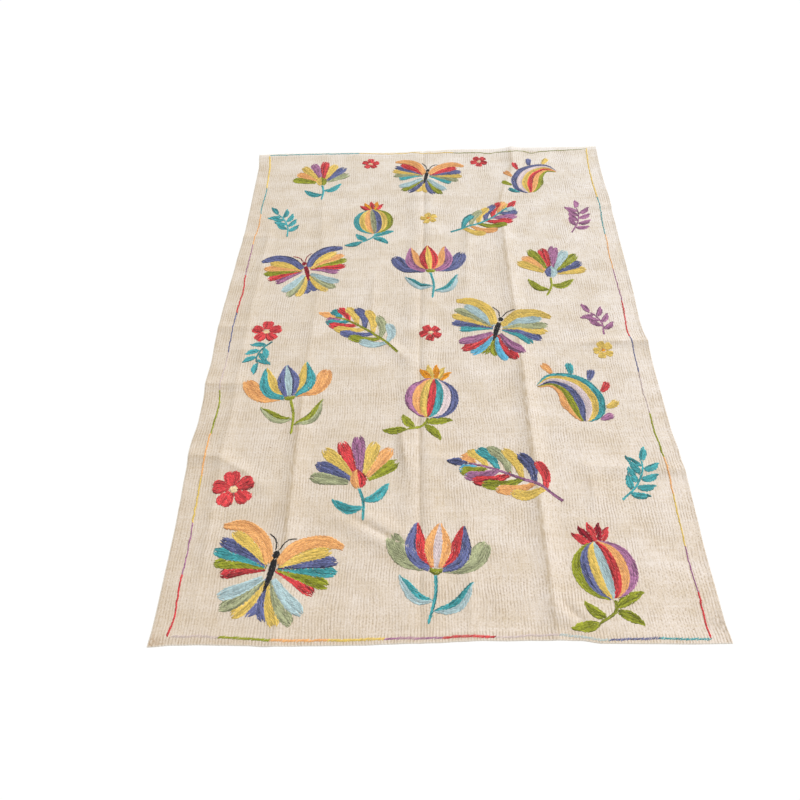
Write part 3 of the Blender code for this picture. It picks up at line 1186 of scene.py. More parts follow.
@dataclass(frozen=True)
class Plume:
    """A tall striped leaf with slanting vanes on both sides of its rib."""

    rib: Yarn
    left: tuple[Yarn, ...]
    right: tuple[Yarn, ...]
    tip: Yarn

    def patches(self) -> Iterable[Patch]:
        """Draw the motif.

        Returns:
            The rib first, then the vanes from the foot up, then the tip.
        """
        rib = ((-12, -132), (2, -70), (6, 0), (0, 70), (-10, 104))
        yield Patch(rib, 3.4, (self.rib,), Profile.STEM)
        line = smooth_curve(rib)
        for side, yarns in ((1.0, self.left), (-1.0, self.right)):
            for number, yarn in enumerate(yarns):
                share = 0.20 + 0.74 * number / (len(self.left) - 1)
                index = int(share * (len(line) - 1))
                reach = 98.0 * math.sin(math.pi * (0.14 + 0.80 * share)) ** 0.8
                angle = heading_at(line, index, 3, 3) + side * (52.0 - 22.0 * share)
                foot, middle, _ = bowed(tuple(line[index]), angle, reach, side * 6.0)
                end = from_here(foot, angle - side * 6.0, reach)
                yield Patch((foot, middle, end), 14.0, (yarn,), Profile.FEATHER, 8.0)
        yield Patch(((-10, 104), (-16, 128), (-26, 154)), 12.0, (self.tip,), Profile.LEAF)


@dataclass(frozen=True)
class Tulip:
    """A tulip with striped petals, on a stem with two long leaves."""

    # The front petal has two outer stripes of one yarn and an inner one of another.
    front: tuple[Yarn, Yarn]
    sides: tuple[Yarn, ...]
    back: Yarn
    stem: Yarn = Yarn.TEAL
    leaf: tuple[Yarn, ...] = (Yarn.TEAL, Yarn.PALE_BLUE)

    def patches(self) -> Iterable[Patch]:
        """Draw the motif.

        Returns:
            Calyx and front petal first, then the others, the stem and its leaves.
        """
        yield Patch(((-15, 2), (0, -5), (15, 2)), 7.0, (Yarn.OLIVE,), Profile.ROUND)
        front = (*self.front, self.front[0])
        yield Patch(((0, 4), (0, 50), (0, 118)), 30.0, front, Profile.POINTED_PETAL)
        side = Patch(((9, 3), (46, 38), (54, 116)), 25.0, self.sides, Profile.POINTED_PETAL)
        back = Patch(((14, 3), (74, 18), (108, 80)), 22.0, (self.back,), Profile.FEATHER, 9.0)
        yield from both_hands(side, back)
        yield Patch(((0, -8), (5, -60), (-6, -124)), 3.4, (self.stem,), Profile.STEM)
        yield Patch(((2, -96), (50, -80), (84, -22)), 15.0, self.leaf)
        yield Patch(((2, -72), (-38, -68), (-80, -20)), 15.0, self.leaf[::-1])


@dataclass(frozen=True)
class Pomegranate:
    """A round fruit striped from crown to stalk, with a leafy twig."""

    stripes: tuple[Yarn, ...]
    # The crown's five leaves have these two yarns in turn.
    crown: tuple[Yarn, Yarn]
    leaf: Yarn = Yarn.TEAL

    def patches(self) -> Iterable[Patch]:
        """Draw the motif.

        Returns:
            The fruit first, then its crown and its twig.
        """
        yield Patch(((0, -70), (0, 0), (0, 66)), 72.0, self.stripes, Profile.ROUND)
        yield from fan((0, 48), (130, 110, 90, 70, 50), (66, 70, 72, 70, 66), 10.0,
                       self.crown * 2 + self.crown[:1], start=14.0,
                       profile=Profile.POINTED_PETAL, ragged=2.0)
        yield Patch(((0, -70), (-8, -94), (-50, -114)), 3.2, (self.leaf,), Profile.STEM)
        for foot, angle, length in (
            ((-6, -90), 18, 76), ((-8, -95), -38, 64), ((-28, -108), 132, 58), ((-48, -113), 188, 64),
        ):
            yield Patch(bowed(foot, angle, length, 5.0), 12.5, (self.leaf,))


@dataclass(frozen=True)
class Paisley:
    """A hooked drop with stripes that follow its bend, fringed with small leaves."""

    stripes: tuple[Yarn, ...]
    fringe: tuple[Yarn, ...]

    def patches(self) -> Iterable[Patch]:
        """Draw the motif.

        Returns:
            The drop first, then the fringe along its outer side.
        """
        spine = ((8, -92), (-12, -38), (-4, 22), (36, 62), (82, 54))
        half = 60.0
        yield Patch(spine, half, self.stripes, Profile.DROP)
        line = smooth_curve(spine)
        for number, yarn in enumerate(self.fringe):
            share = 0.07 + 0.72 * number / (len(self.fringe) - 1)
            index = int(share * (len(line) - 1))
            heading = heading_at(line, index, 0, 2)
            away = half * float(Profile.DROP.at(np.array(share))) + 1.0
            foot = from_here(tuple(line[index]), heading + 90.0, away)
            middle = from_here(foot, heading + 66.0, 20.0)
            yield Patch((foot, middle, from_here(foot, heading + 56.0, 44.0)), 11.5, (yarn,),
                        Profile.FEATHER, 6.0)


@dataclass(frozen=True)
class Carnation:
    """A fan-shaped flower of long feathered petals, with its stem and leaves."""

    petals: tuple[Yarn, ...]
    cup: tuple[Yarn, ...]
    stem: Yarn = Yarn.TEAL

    def patches(self) -> Iterable[Patch]:
        """Draw the motif.

        Returns:
            Cup first, then the petals, the stem and its leaves.
        """
        yield Patch(((0, -34), (0, -8), (0, 20)), 20.0, self.cup, Profile.POINTED_PETAL)
        count = len(self.petals)
        angles = [158.0 - 136.0 * number / (count - 1) for number in range(count)]
        lengths = [120.0 + 22.0 * math.sin(math.pi * number / (count - 1)) - 8.0 * (number % 2)
                   for number in range(count)]
        yield from fan((0, -22), angles, lengths, 17.0, self.petals, start=22.0, ragged=12.0)
        yield Patch(((0, -34), (4, -74), (-8, -122)), 3.2, (self.stem,), Profile.STEM)
        yield Patch(((2, -68), (34, -68), (70, -34)), 13.0, (self.stem,))
        yield Patch(((0, -90), (-34, -88), (-68, -52)), 13.0, (self.stem,))


@dataclass(frozen=True)
class Sprig:
    """A bending twig with leaves on both sides."""

    yarn: Yarn
    pairs: int = 4
    length: float = 150.0

    def patches(self) -> Iterable[Patch]:
        """Draw the motif.

        Returns:
            The twig first, then its leaves.
        """
        half = self.length / 2
        twig = ((-10, -half), (6, -half / 3), (4, half / 3), (-8, half - 22))
        yield Patch(twig, 2.4, (self.yarn,), Profile.STEM)
        line = smooth_curve(twig)
        for number in range(2 * self.pairs):
            side = 1.0 if number % 2 else -1.0
            index = int((0.22 + 0.70 * number / (2 * self.pairs - 1)) * (len(line) - 4))
            heading = heading_at(line, index, 0, 3) + side * 48.0
            yield Patch(bowed(tuple(line[index]), heading, 50.0, side * 4.0, 0.48), 10.0,
                        (self.yarn,))
        yield Patch(((-8, half - 24), (-11, half - 2), (-18, half + 22)), 10.0, (self.yarn,))


@dataclass(frozen=True)
class Blossom:
    """A small flower of five round petals."""

    petal: Yarn = Yarn.RED
    eye: Yarn = Yarn.CREAM

    def patches(self) -> Iterable[Patch]:
        """Draw the motif.

        Returns:
            The eye first, then the petals.
        """
        yield Patch(((-8, 0), (0, 0), (8, 0)), 7.0, (self.eye,), Profile.ROUND, 0.5)
        yield from fan((0, 0), (90, 18, -54, -126, 162), (36,) * 5, 15.5, (self.petal,) * 5,
                       start=6.0, ragged=1.5, profile=Profile.PETAL)


class Stitch(NamedTuple):
    """One stitch as it is sewn: its two ends on the rug, its width and the tone of its dye."""

    start: Point
    end: Point
    width: float
    tone: float


Runs = dict[Yarn, list[Stitch]]


@dataclass
class Needle:
    """Sews patches as rows of short stitches, and leaves out what lies under earlier ones."""

    ground: Ground
    row_pitch: float = 2.35
    stitch_length: float = 9.5
    stitch_width: float = 3.4
    overlap: float = 1.9
    slant: float = 1.3
    tone: float = 0.43
    row_spread: float = 0.17
    stitch_spread: float = 0.26
    # How much of a stitch's tone the next one in its row keeps.
    kept_tone: float = 0.35
    # How far a patch strays from its drawing.
    looseness: float = 0.9
    # Rows are left out where they lie closer than this share of their pitch.
    least_pitch: float = 0.58
    # A stitch that is shorter, or of which a smaller share is free, is left out.
    least_length: float = 1.5
    least_share: float = 0.18
    # The most that a stitch slants, as a share of its length.
    steepest: float = 0.16
    seed: int = 41
    runs: Runs = field(default_factory=dict)

    def __post_init__(self) -> None:
        """Start with bare cloth."""
        self.chance = np.random.default_rng(self.seed)
        self.sewn = np.zeros((int(self.ground.width), int(self.ground.length)), dtype=np.int32)
        self.patch_count = 0

    def sew(self, motif: Motif, spot: Spot) -> None:
        """Sew one motif at its spot."""
        for patch in motif.patches():
            self.sew_patch(patch, spot)

    def sew_patch(self, patch: Patch, spot: Spot) -> None:
        """Fill one patch with rows of stitches.

        Args:
            patch: The patch, in its motif's own drawing.
            spot: Where the motif lies on the rug.
        """
        self.patch_count += 1
        loose = [(x + self.chance.normal(0, self.looseness),
                  y + self.chance.normal(0, self.looseness)) for x, y in patch.spine]
        line = spot.on_rug(smooth_curve(loose))
        ahead = np.gradient(line, axis=0)
        ahead /= np.hypot(*ahead.T)[:, None]
        hand = -1.0 if spot.flip else 1.0
        to_right = hand * np.stack((ahead[:, 1], -ahead[:, 0]), axis=1)
        reach = along_line(line)
        half = patch.half_width * spot.size * patch.profile.at(reach / reach[-1])
        stripes = len(patch.yarns)
        in_stripe = max(round(2 * half.max() / self.row_pitch / stripes), 1)
        rows = in_stripe * stripes
        pitch = 2 * half / rows
        # Rows lie in pairs of one tone, as a double strand does.
        row_tones = np.repeat(self.chance.normal(self.tone, self.row_spread, rows // 2 + 1), 2)
        room = self.least_pitch * self.row_pitch
        for row in range(rows):
            # Rows are left out in turn where the shape narrows, as there is no room for all.
            keep = pitch > room
            keep |= (row % 2 == 0) & (pitch > room / 2)
            keep |= row % 4 == 0
            if rows == 1:
                keep[:] = True
            offset = (2 * (row + 0.5) / rows - 1) * half
            path = line + offset[:, None] * to_right
            for first, last in self.unbroken(keep):
                self.sew_row(path[first:last], patch.yarns[row // in_stripe], row,
                             row_tones[row], patch.ragged)

    @staticmethod
    def unbroken(keep: np.ndarray) -> list[tuple[int, int]]:
        """Find the stretches of a row that aren't broken, as first and last places."""
        changes = np.flatnonzero(np.diff(np.concatenate(([0], keep.astype(int), [0]))))
        return [(a, b) for a, b in zip(changes[::2], changes[1::2]) if b - a > 2]

    def sew_row(
        self, path: np.ndarray, yarn: Yarn, row: int, tone: float, ragged: float
    ) -> None:
        """Sew one row of stitches along a path.

        Args:
            path: The row's course on the rug.
            yarn: The yarn it is sewn with.
            row: The row's number, which sets where its stitches begin and how they slant.
            tone: The row's own tone, about which its stitches vary.
            ragged: How far it may stop short at its end.
        """
        reach = along_line(path)
        last = reach[-1] - self.chance.uniform(0.0, min(ragged, 0.3 * reach[-1]))
        first = self.chance.uniform(0.0, min(ragged, 0.1 * reach[-1]) / 2)
        count = max(round((last - first) / self.stitch_length), 1)
        step = (last - first) / count
        marks = first + step * np.arange(count + 1)
        if row % 2 and count > 1:
            marks = np.concatenate(([first], (marks[1:] + marks[:-1]) / 2, [last]))
        marks[1:-1] += self.chance.normal(0.0, 0.09 * step, len(marks) - 2)
        lean = self.slant if row % 4 else -self.slant
        drift = 0.0
        for near, far in zip(marks, marks[1:]):
            drift = self.kept_tone * drift + self.chance.normal(0.0, self.stitch_spread)
            marked = (near - self.overlap, far + self.overlap)
            start, end = np.stack([np.interp(marked, reach, side) for side in path.T], axis=1)
            run = end - start
            span = float(np.hypot(*run))
            if span < self.least_length:
                continue
            most = self.steepest * span
            tilt = np.clip(lean * self.chance.uniform(0.3, 1.7), -most, most)
            aside = np.array([-run[1], run[0]]) / span * tilt
            self.stitch(start - aside, end + aside, yarn, tone + drift)

    def stitch(self, start: np.ndarray, end: np.ndarray, yarn: Yarn, tone: float) -> None:
        """Sew one stitch, cut back to what isn't sewn yet.

        Args:
            start: Where it starts on the rug.
            end: Where it ends.
            yarn: The yarn it is sewn with.
            tone: The tone of its dye.
        """
        span = float(np.hypot(*(end - start)))
        count = max(int(span), 2)
        shares = np.linspace(0.0, 1.0, count + 1)
        centres = start + shares[:, None] * (end - start)
        held = self.sewn[self.cells(centres)]
        free = self.unbroken((held == 0) | (held == self.patch_count))
        if not free:
            return
        first, last = max(free, key=lambda part: part[1] - part[0])
        if last - first < self.least_share * len(shares):
            return
        first, last = max(first - 1, 0), min(last + 1, len(shares))
        start, end = centres[first], centres[last - 1]
        aside = np.array([end[1] - start[1], start[0] - end[0]])
        aside /= max(float(np.hypot(*aside)), 1e-6)
        # The middle and both sides of the stitch cover the cloth.
        for shift in (-0.6, 0.0, 0.6):
            cells = self.cells(centres[first:last] + shift * aside)
            self.sewn[cells] = np.where(self.sewn[cells] == 0, self.patch_count, self.sewn[cells])
        width = self.stitch_width * self.chance.uniform(0.9, 1.12)
        self.runs.setdefault(yarn, []).append(Stitch(tuple(start), tuple(end), width, tone))

    def cells(self, points: np.ndarray) -> tuple[np.ndarray, np.ndarray]:
        """The millimetre squares of the plan that points lie in."""
        x = np.clip(points[:, 0] + self.ground.width / 2, 0, self.sewn.shape[0] - 1)
        y = np.clip(points[:, 1] + self.ground.length / 2, 0, self.sewn.shape[1] - 1)
        return x.astype(int), y.astype(int)


@dataclass
class StitchMesh:
    """Turns noted stitches into small rounded lengths of yarn that lie on the cloth."""

    ground: Ground
    height: float = 1.5
    sunk: float = 0.5
    tip_height: float = 0.4
    ring_shares: tuple[float, ...] = (0.16, 0.5, 0.84)
    ring_sizes: tuple[float, ...] = (0.80, 1.0, 0.80)
    across: tuple[float, ...] = (-1.0, -0.66, 0.0, 0.66, 1.0)
    crown: tuple[float, ...] = (0.0, 0.72, 1.0, 0.72, 0.0)
    # Painted shade darkens stitches towards their ends, where this share of their tone is left,
    # and by this much along their sides.
    end_tone: float = 0.55
    side_tone: float = 0.18
    # How far the strands' finish runs on from one column of points to the next.
    strand_step: float = 1.4

    def build(
        self, name: str, stitches: list[Stitch], material: bpy.types.Material, seed: int
    ) -> bpy.types.Object:
        """Make one piece of all the stitches of one yarn.

        Args:
            name: The piece's name.
            stitches: The stitches.
            material: The yarn's material.
            seed: Sets the small differences between the stitches' heights.

        Returns:
            The piece.
        """
        start, end, width, tone = (np.array(part) for part in zip(*stitches))
        way = end - start
        span = np.hypot(*way.T)
        right = np.stack((way[:, 1], -way[:, 0]), axis=1) / span[:, None]
        chance = np.random.default_rng(seed)
        rise = self.height * chance.uniform(0.85, 1.15, len(span))

        # Each stitch has a point at its start, its rings of points, and a point at its end.
        middle = len(self.across) // 2
        columns = [(0.0, 0.0, self.tip_height, middle)]
        for share, size in zip(self.ring_shares, self.ring_sizes):
            for number, (aside, up) in enumerate(zip(self.across, self.crown)):
                columns.append((share, aside * size, up * size, number))
        columns.append((1.0, 0.0, self.tip_height, middle))
        count = len(columns)
        share, aside, up, around = (np.array(column) for column in zip(*columns))
        x, y = (
            start[:, axis, None] + way[:, axis, None] * share
            + right[:, axis, None] * (aside * width[:, None] / 2)
            for axis in (0, 1)
        )
        z = self.ground.top(x, y) - self.sunk + up * (rise[:, None] + self.sunk)
        points = self.ground.laid(x, y, z).reshape(-1, 3)

        firsts = count * np.arange(len(span))[:, None]
        faces = []
        for face in self.face_pattern():
            faces += (firsts + np.array(face)).tolist()
        piece = new_piece(name, points, faces, material)

        # Painted shade: stitches are darker towards their ends, where they dive into the cloth, and
        # along their sides.
        from_ends = 1.0 - 0.9 * np.abs(2.0 * share - 1.0) ** 3
        kept = self.end_tone + (1.0 - self.end_tone) * from_ends
        tones = tone[:, None] * kept - self.side_tone * (np.abs(aside) > 0.9)
        add_numbers(piece, STITCH_TONE, tones.ravel())
        # Every stitch has its own part of the strands' noise.
        own = np.repeat(7.3 * np.arange(len(span)) % 97.0, count)
        beside = np.tile(around * self.strand_step, len(span))
        add_numbers(piece, YARN_PLACE,
                    np.stack(((share * span[:, None]).ravel(), beside, own), axis=1))
        self.map_for_bake(piece, share, around, len(span))
        return piece

    def face_pattern(self) -> list[list[int]]:
        """List the faces of one stitch, open at its hidden underside.

        Returns:
            The faces, as lists of the stitch's own point numbers.
        """
        around, rings = len(self.across), len(self.ring_shares)
        tip = 1 + around * rings
        faces = []
        for number in range(around - 1):
            faces.append([0, 2 + number, 1 + number])
            faces.append([tip, tip - around + number, tip - around + number + 1])
            for low in range(1 + number, tip - around, around):
                faces.append([low, low + 1, low + 1 + around, low + around])
        return faces

    @staticmethod
    def map_for_bake(
        piece: bpy.types.Object, share: np.ndarray, around: np.ndarray, count: int
    ) -> None:
        """Unroll every stitch into its own cell of one flat map.

        Args:
            piece: The stitches' piece.
            share: Each point's share of the way along a stitch.
            around: The number of its column, from one side to the other.
            count: How many stitches there are.
        """
        columns = max(math.ceil(math.sqrt(count * 0.6)), 1)
        rows = math.ceil(count / columns)
        row, column = np.divmod(np.arange(count)[:, None], columns)
        u = (column + 0.06 + 0.88 * share) / columns
        v = (row + 0.10 + 0.80 * around / around.max()) / rows
        places = np.stack((u, v), axis=-1).reshape(-1, 2)
        add_bake_map(piece, places[corner_points(piece)])


class Stretch(NamedTuple):
    """A stretch of the border line: its yarn, where along its side it ends, and its width."""

    yarn: Yarn
    end: float
    width: float = 3.1
    tone: float = 0.46


def stretches(*rows: tuple[Any, ...]) -> tuple[Stretch, ...]:
    """Turn rows of yarn, end, width and tone into stretches of the line."""
    return tuple(Stretch(*row) for row in rows)


@dataclass(frozen=True)
class LineSide:
    """One side of the border line, which runs from its far or its left end."""

    corner: Point
    heading: Point
    # How long the stitches are, and how far they lean out of the line, in degrees.
    length: float
    lean: float
    stretches: tuple[Stretch, ...]
    # How far the line strays towards the nearest hem.
    course: Course


# Where each side starts and heads, its stitches' length and lean, its stretches and its course.
LINE_SIDES = (
    LineSide((-558.3, 883.0), (0.0, -1.0), 8.6, 15.0, stretches(
        (Yarn.YELLOW, 698, 4.6, 0.76), (Yarn.TEAL, 556, 2.6), (Yarn.ORANGE, 401, 2.7, 0.56),
        (Yarn.PURPLE, 251, 1.9), (Yarn.RED, 88, 4.0), (Yarn.BLUE, -67, 2.3),
        (Yarn.PALE_PINK, -209, 1.4, 0.36), (Yarn.OLIVE, -351, 3.7), (Yarn.ORANGE, -482, 3.5),
        (Yarn.YELLOW, -611, 3.5), (Yarn.PURPLE, -742, 2.2), (Yarn.RED, -881, 3.9),
    ), (
        (-900, 7), (-881, 5), (-850, 0), (-760, 2), (-680, 0), (-600, 2), (-500, 1), (-400, -1),
        (-320, 0), (-260, -3), (-180, 1), (-60, -1), (60, -1), (150, -4), (190, -4), (260, 2),
        (340, 1), (420, 4), (500, -1), (580, 1), (680, -3), (780, 0), (860, 3), (900, 3),
    )),
    LineSide((557.8, 885.0), (0.0, -1.0), 8.6, 15.0, stretches(
        (Yarn.YELLOW, 609, 3.8, 0.70), (Yarn.TEAL, 414, 2.5), (Yarn.ORANGE, 250, 2.4, 0.68),
        (Yarn.PURPLE, 111, 2.2, 0.51), (Yarn.RED, -32, 3.8), (Yarn.BLUE, -163, 2.3),
        (Yarn.PALE_PINK, -307, 1.2, 0.26), (Yarn.OLIVE, -439, 4.2), (Yarn.ORANGE, -546, 3.4),
        (Yarn.YELLOW, -682, 3.2), (Yarn.PURPLE, -792, 2.3), (Yarn.RED, -886, 3.8),
    ), (
        (-900, 0), (-790, 2), (-730, 0), (-520, 0), (-460, 2), (-420, -1), (-320, -1), (-240, -4),
        (-140, -2), (-20, -3), (80, 3), (180, 0), (300, -2), (380, 0), (460, 1), (540, 5),
        (640, 2), (740, 2), (860, 6), (900, 7),
    )),
    LineSide((-557.0, 883.0), (1.0, 0.0), 8.6, 28.0, stretches(
        (Yarn.TEAL, -240, 4.7, 0.42), (Yarn.YELLOW, 93, 3.7, 0.50), (Yarn.OLIVE, 562, 1.6, 0.36),
    ), (
        (-600, 7), (-540, 7), (-480, 7), (-400, 8), (-280, 8), (-180, 9), (-100, 6), (-60, 9),
        (-10, 0), (60, -2), (120, -6), (180, -7), (220, -13), (250, -6), (273, -9), (290, -15),
        (302, -15), (318, -7), (335, -6), (370, -19), (400, -11), (440, -5), (500, -3), (560, 2),
        (600, 3),
    )),
    LineSide((-552.0, -883.0), (1.0, 0.0), 10.5, 38.0, stretches(
        (Yarn.PALE_PINK, -457, 1.6, 0.06), (Yarn.OLIVE, -345, 3.7), (Yarn.ORANGE, -228, 3.8),
        (Yarn.YELLOW, -111, 3.6), (Yarn.PURPLE, 12, 2.4), (Yarn.RED, 120, 3.3),
        (Yarn.PALE_PINK, 249, 2.0, 0.16), (Yarn.PALE_BLUE, 353, 2.1), (Yarn.BLUE, 453, 2.8),
        (Yarn.TEAL, 557, 2.7),
    ), (
        (-600, -2), (-500, -2), (-460, 0), (-380, 2), (-300, 4), (-240, 6), (-140, 5), (-60, 5),
        (-20, 6), (20, 7), (60, 6), (110, 9), (250, 5), (275, 7), (300, 9), (350, 9), (400, 7),
        (460, 5), (560, 7), (600, 7),
    )),
)


@dataclass
class BorderLine:
    """The line of twisted stitches round the rug, whose yarn changes along its way."""

    sides: tuple[LineSide, ...] = LINE_SIDES
    pitch: float = 4.2
    # Stitches are wider than the line looks, as their edges are sunk and dark.
    fullness: float = 1.16
    wobble: float = 0.42
    seed: int = 7

    def runs(self) -> Runs:
        """Sew the four sides and give back the stitches of each yarn."""
        chance = np.random.default_rng(self.seed)
        runs: Runs = {}
        for side in self.sides:
            self.sew_side(runs, chance, side)
        return runs

    def sew_side(self, runs: Runs, chance: np.random.Generator, side: LineSide) -> None:
        """Sew one side of the line.

        Args:
            runs: The stitches so far, which this adds to.
            chance: Source of the small differences.
            side: The side.
        """
        corner, ahead = np.array(side.corner), np.array(side.heading)
        across = np.abs(ahead[::-1])
        outward = across * np.sign(corner)
        axis = int(np.argmax(np.abs(ahead)))
        reach, drift = 0.0, 0.0
        for stretch in side.stretches:
            run = runs.setdefault(stretch.yarn, [])
            while reach < abs(stretch.end - corner[axis]):
                along = corner[axis] + reach * ahead[axis]
                stray = float(Ground.stray(side.course, np.array(along)))
                turn = math.radians(side.lean) * chance.uniform(0.6, 1.4)
                way = math.cos(turn) * ahead + math.sin(turn) * across
                drift = 0.7 * drift + chance.normal(0.0, self.wobble)
                centre = corner + reach * ahead + (stray + drift) * outward
                half = way * side.length / 2
                width = self.fullness * stretch.width * chance.uniform(0.85, 1.15)
                tone = stretch.tone + chance.normal(0.0, 0.14)
                run.append(Stitch(tuple(centre - half), tuple(centre + half), width, tone))
                reach += self.pitch * chance.uniform(0.9, 1.1)


def garden() -> list[tuple[Motif, Spot]]:
    """Lay out the motifs: rows of three and of two in turn, with sprigs and flowers between.

    Returns:
        Each motif with its spot.
    """
    dye = Yarn
    # Yarns of petals, wings and fruit, each set in the order it is sewn.
    bright = (dye.RED, dye.BLUE, dye.YELLOW, dye.SAGE, dye.TEAL)
    cool = (dye.PALE_BLUE, dye.OLIVE, dye.BLUE, dye.YELLOW)
    warm = (dye.YELLOW, dye.ORANGE, dye.OLIVE, dye.RED, dye.PURPLE)
    soft = (dye.PALE_BLUE, dye.SAGE, dye.YELLOW, dye.BLUE)
    rainbow = (dye.OLIVE, dye.ORANGE, dye.YELLOW, dye.PURPLE, dye.RED, dye.YELLOW, dye.BLUE,
               dye.SAGE)
    # Each motif's spot is its place, its turn, its size, and whether it is flipped.
    return [
        (Carnation(rainbow, (dye.YELLOW, dye.OLIVE)), Spot(-362, 738, 8, 0.92)),
        (Butterfly(dye.ORANGE, bright, cool), Spot(-4, 742, -10, 0.86)),
        (Paisley((dye.BLUE, dye.PALE_PINK, dye.YELLOW, dye.RED, dye.ORANGE, dye.OLIVE),
                 (dye.TEAL, dye.OLIVE, dye.ORANGE, dye.RED, dye.BLUE, dye.YELLOW)),
         Spot(356, 726, -14, 0.92)),
        (Pomegranate((dye.TEAL, dye.YELLOW, dye.ORANGE, dye.SAGE, dye.BLUE, dye.YELLOW, dye.OLIVE),
                     (dye.RED, dye.AMBER)), Spot(-176, 506, 6, 0.90)),
        (Plume(dye.TEAL, bright[::-1] + (dye.ORANGE, dye.YELLOW),
               warm + (dye.BLUE, dye.PALE_BLUE), dye.RED), Spot(180, 500, -58, 0.94)),
        (Butterfly(dye.BLUE, warm, soft, dye.DEEP_RED), Spot(-372, 262, 14, 0.92)),
        (Tulip((dye.RED, dye.YELLOW), (dye.ORANGE, dye.PURPLE), dye.BLUE), Spot(4, 256, 4, 0.98)),
        (Carnation(warm + cool, (dye.BLUE, dye.PALE_BLUE), dye.OLIVE), Spot(366, 250, -10, 0.96)),
        (Plume(dye.OLIVE, cool + (dye.RED, dye.TEAL, dye.PURPLE),
               soft + (dye.YELLOW, dye.RED, dye.TEAL), dye.ORANGE), Spot(-186, 8, 52, 0.98)),
        (Butterfly(dye.YELLOW, soft + (dye.TEAL,), (dye.PURPLE, dye.RED, dye.SKY, dye.OLIVE)),
         Spot(186, 2, -16, 0.98)),
        (Tulip((dye.BLUE, dye.PALE_BLUE), (dye.YELLOW, dye.TEAL), dye.ORANGE, dye.OLIVE,
               (dye.OLIVE, dye.SAGE)), Spot(-372, -236, 10, 1.0)),
        (Pomegranate(
            (dye.PURPLE, dye.ORANGE, dye.YELLOW, dye.RED, dye.TEAL, dye.PALE_PINK, dye.BLUE),
            (dye.AMBER, dye.YELLOW), dye.OLIVE), Spot(-2, -244, -8, 0.98)),
        (Paisley((dye.TEAL, dye.YELLOW, dye.PALE_PINK, dye.BLUE, dye.OLIVE, dye.ORANGE),
                 (dye.PURPLE, dye.YELLOW, dye.RED, dye.BLUE, dye.TEAL, dye.ORANGE)),
         Spot(368, -240, 16, 0.98, True)),
        (Carnation(rainbow[::-1], (dye.ORANGE, dye.RED)), Spot(-184, -486, 12, 1.02)),
        (Plume(dye.PURPLE, warm + (dye.OLIVE, dye.SKY), bright + (dye.YELLOW, dye.ORANGE),
               dye.BLUE), Spot(184, -492, 64, 1.02)),
        (Butterfly(dye.ORANGE, (dye.YELLOW, dye.BLUE, dye.TEAL, dye.OLIVE, dye.RED), soft),
         Spot(-364, -738, -12, 1.02)),
        (Tulip((dye.ORANGE, dye.PALE_PINK), (dye.RED, dye.BLUE), dye.SAGE),
         Spot(0, -736, -6, 1.0)),
        (Pomegranate(
            (dye.OLIVE, dye.BLUE, dye.YELLOW, dye.PALE_BLUE, dye.RED, dye.ORANGE, dye.PURPLE),
            (dye.RED, dye.DEEP_RED), dye.OLIVE), Spot(366, -736, 10, 1.0)),
        (Sprig(dye.TEAL), Spot(-470, 505, 22, 1.0)),
        (Sprig(dye.PURPLE), Spot(478, 498, -14, 1.0)),
        (Blossom(), Spot(-462, 10, 0, 1.15)),
        (Sprig(dye.TEAL, 3, 120.0), Spot(-468, -78, 160, 0.9)),
        (Sprig(dye.PURPLE, 3, 120.0), Spot(474, 34, 18, 0.95)),
        (Blossom(dye.YELLOW, dye.AMBER), Spot(470, -84, 20, 0.85)),
        (Blossom(), Spot(-478, -520, 10, 1.4)),
        (Sprig(dye.TEAL), Spot(482, -500, -30, 1.0)),
        (Blossom(), Spot(-196, 828, 0, 0.85)),
        (Blossom(), Spot(182, 824, 30, 0.85)),
        (Blossom(dye.YELLOW, dye.AMBER), Spot(2, 512, 12, 0.8)),
        (Blossom(), Spot(0, -8, 30, 0.9)),
    ]


@dataclass
class Needlework:
    """The embroidered motifs and the border line, one piece for each yarn of each."""

    ground: Ground

    def build(self) -> list[bpy.types.Object]:
        """Sew everything and give back the pieces.

        Returns:
            The pieces, motifs first.
        """
        finishes = {yarn: StrandedYarn(yarn).make() for yarn in Yarn}
        needle = Needle(self.ground)
        for motif, spot in garden():
            needle.sew(motif, spot)
        maker = StitchMesh(self.ground)
        pieces = []
        for group, runs in (("motifs", needle.runs), ("border", BorderLine().runs())):
            for number, (yarn, stitches) in enumerate(runs.items()):
                name = f"{group}_{yarn.label}"
                piece = maker.build(name, stitches, finishes[yarn], 100 + number)
                f"yarn_{yarn.label}"
                pieces.append(piece)
        return pieces


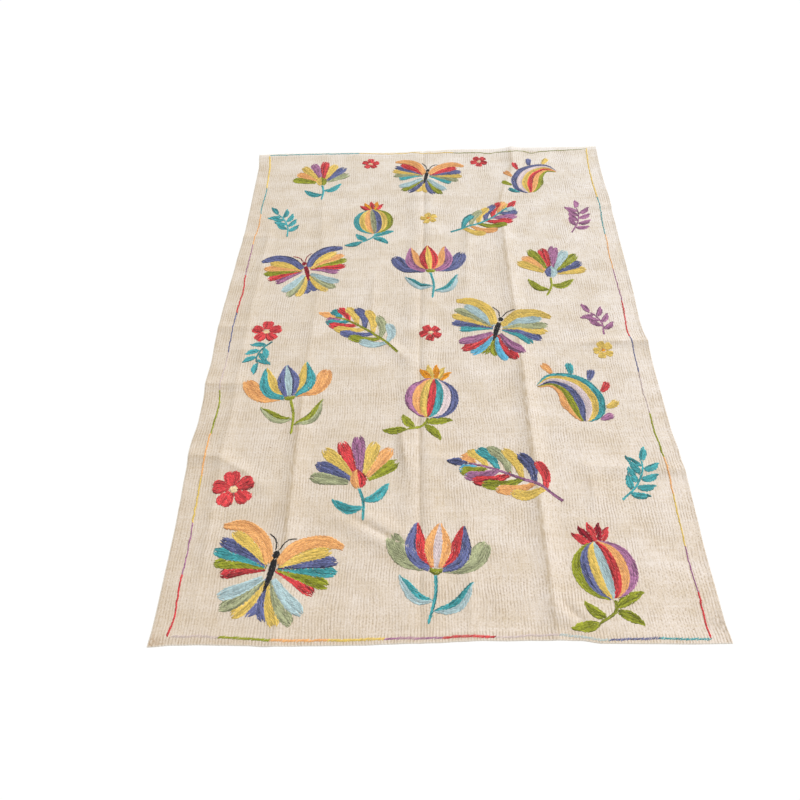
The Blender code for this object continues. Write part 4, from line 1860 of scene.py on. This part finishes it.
@dataclass
class Studio:
    """The white floor, the even light and the camera at the photograph's place."""

    middle: Point
    floor_half: float = 40.0
    floor_height: float = -0.0002
    lens: float = 34.507
    sensor: float = 36.0
    camera_place: Place = (-0.02222, -1.52622, 1.53240)
    pitch: float = 50.107
    yaw: float = -2.739
    roll: float = 2.868
    sky: float = 0.47
    sun: float = 2.75
    sun_height: float = 44.0
    sun_spread: float = 9.0

    def build(self) -> None:
        """Set up the floor, the lights and the camera."""
        self.build_floor()
        self.build_light()
        self.build_camera()

    def build_floor(self) -> None:
        """Lay the floor just under the rug."""
        half = self.floor_half
        corners = np.array([(-half, -half), (half, -half), (half, half), (-half, half)])
        points = np.concatenate((corners, np.full((4, 1), self.floor_height)), axis=1)
        floor = new_piece("studio_floor", points, [[0, 1, 2, 3]], LitFloor().make())

    def build_light(self) -> None:
        """Give even light from all round and a soft key from the far right."""
        world = bpy.data.worlds.new("studio_white")
        world.use_nodes = True
        inputs = world.node_tree.nodes["Background"].inputs
        inputs["Strength"].default_value = self.sky
        inputs["Color"].default_value = (1.0, 1.0, 1.0, 1.0)
        bpy.context.scene.world = world
        light = bpy.data.lights.new("soft_key", "SUN")
        light.energy = self.sun
        light.angle = math.radians(self.sun_spread)
        key = bpy.data.objects.new("soft_key", light)
        height, heading = math.radians(self.sun_height), math.radians(LIGHT_HEADING)
        toward = Vector((
            math.cos(height) * math.cos(heading), math.cos(height) * math.sin(heading),
            math.sin(height),
        ))
        key.rotation_euler = toward.to_track_quat("Z", "Y").to_euler()
        bpy.context.scene.collection.objects.link(key)
        bpy.context.scene.view_settings.view_transform = "Standard"

    def build_camera(self) -> None:
        """Stand the camera where the photograph was taken from."""
        data = bpy.data.cameras.new("photo_camera")
        data.lens = self.lens
        data.sensor_width = self.sensor
        data.clip_start = 0.05
        data.clip_end = 200.0
        camera = bpy.data.objects.new("photo_camera", data)
        pitch, yaw, roll = (math.radians(angle) for angle in (self.pitch, self.yaw, self.roll))
        forward = Vector((
            math.sin(yaw) * math.cos(pitch), math.cos(yaw) * math.cos(pitch), -math.sin(pitch)
        ))
        level = Vector((math.cos(yaw), -math.sin(yaw), 0.0))
        down = forward.cross(level)
        right = math.cos(roll) * level + math.sin(roll) * down
        up = math.sin(roll) * level - math.cos(roll) * down
        turn = Matrix((right, up, -forward)).transposed().to_4x4()
        place = Vector(self.camera_place) - Vector((*self.middle, 0.0)) * MM
        camera.matrix_world = Matrix.Translation(place) @ turn
        bpy.context.scene.collection.objects.link(camera)
        bpy.context.scene.camera = camera


def triangle_count(piece: bpy.types.Object) -> int:
    """Count the triangles of a piece."""
    return sum(len(face.vertices) - 2 for face in piece.data.polygons)


def main() -> None:
    """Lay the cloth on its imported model, sew on it, and set up the studio round it."""
    logging.basicConfig(level=logging.INFO, format="%(message)s")
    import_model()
    ground = Ground()
    cloth = CottonCloth(ground).build()
    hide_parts("rug")
    stitching = Needlework(ground).build()
    for piece in [cloth, *stitching]:
        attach(piece, "root")
        LOG.info("%s: %d triangles", piece.name, triangle_count(piece))
    LOG.info("all pieces: %d triangles", sum(triangle_count(p) for p in [cloth, *stitching]))
    Studio(ground.middle).build()


if __name__ == "__main__":
    main()
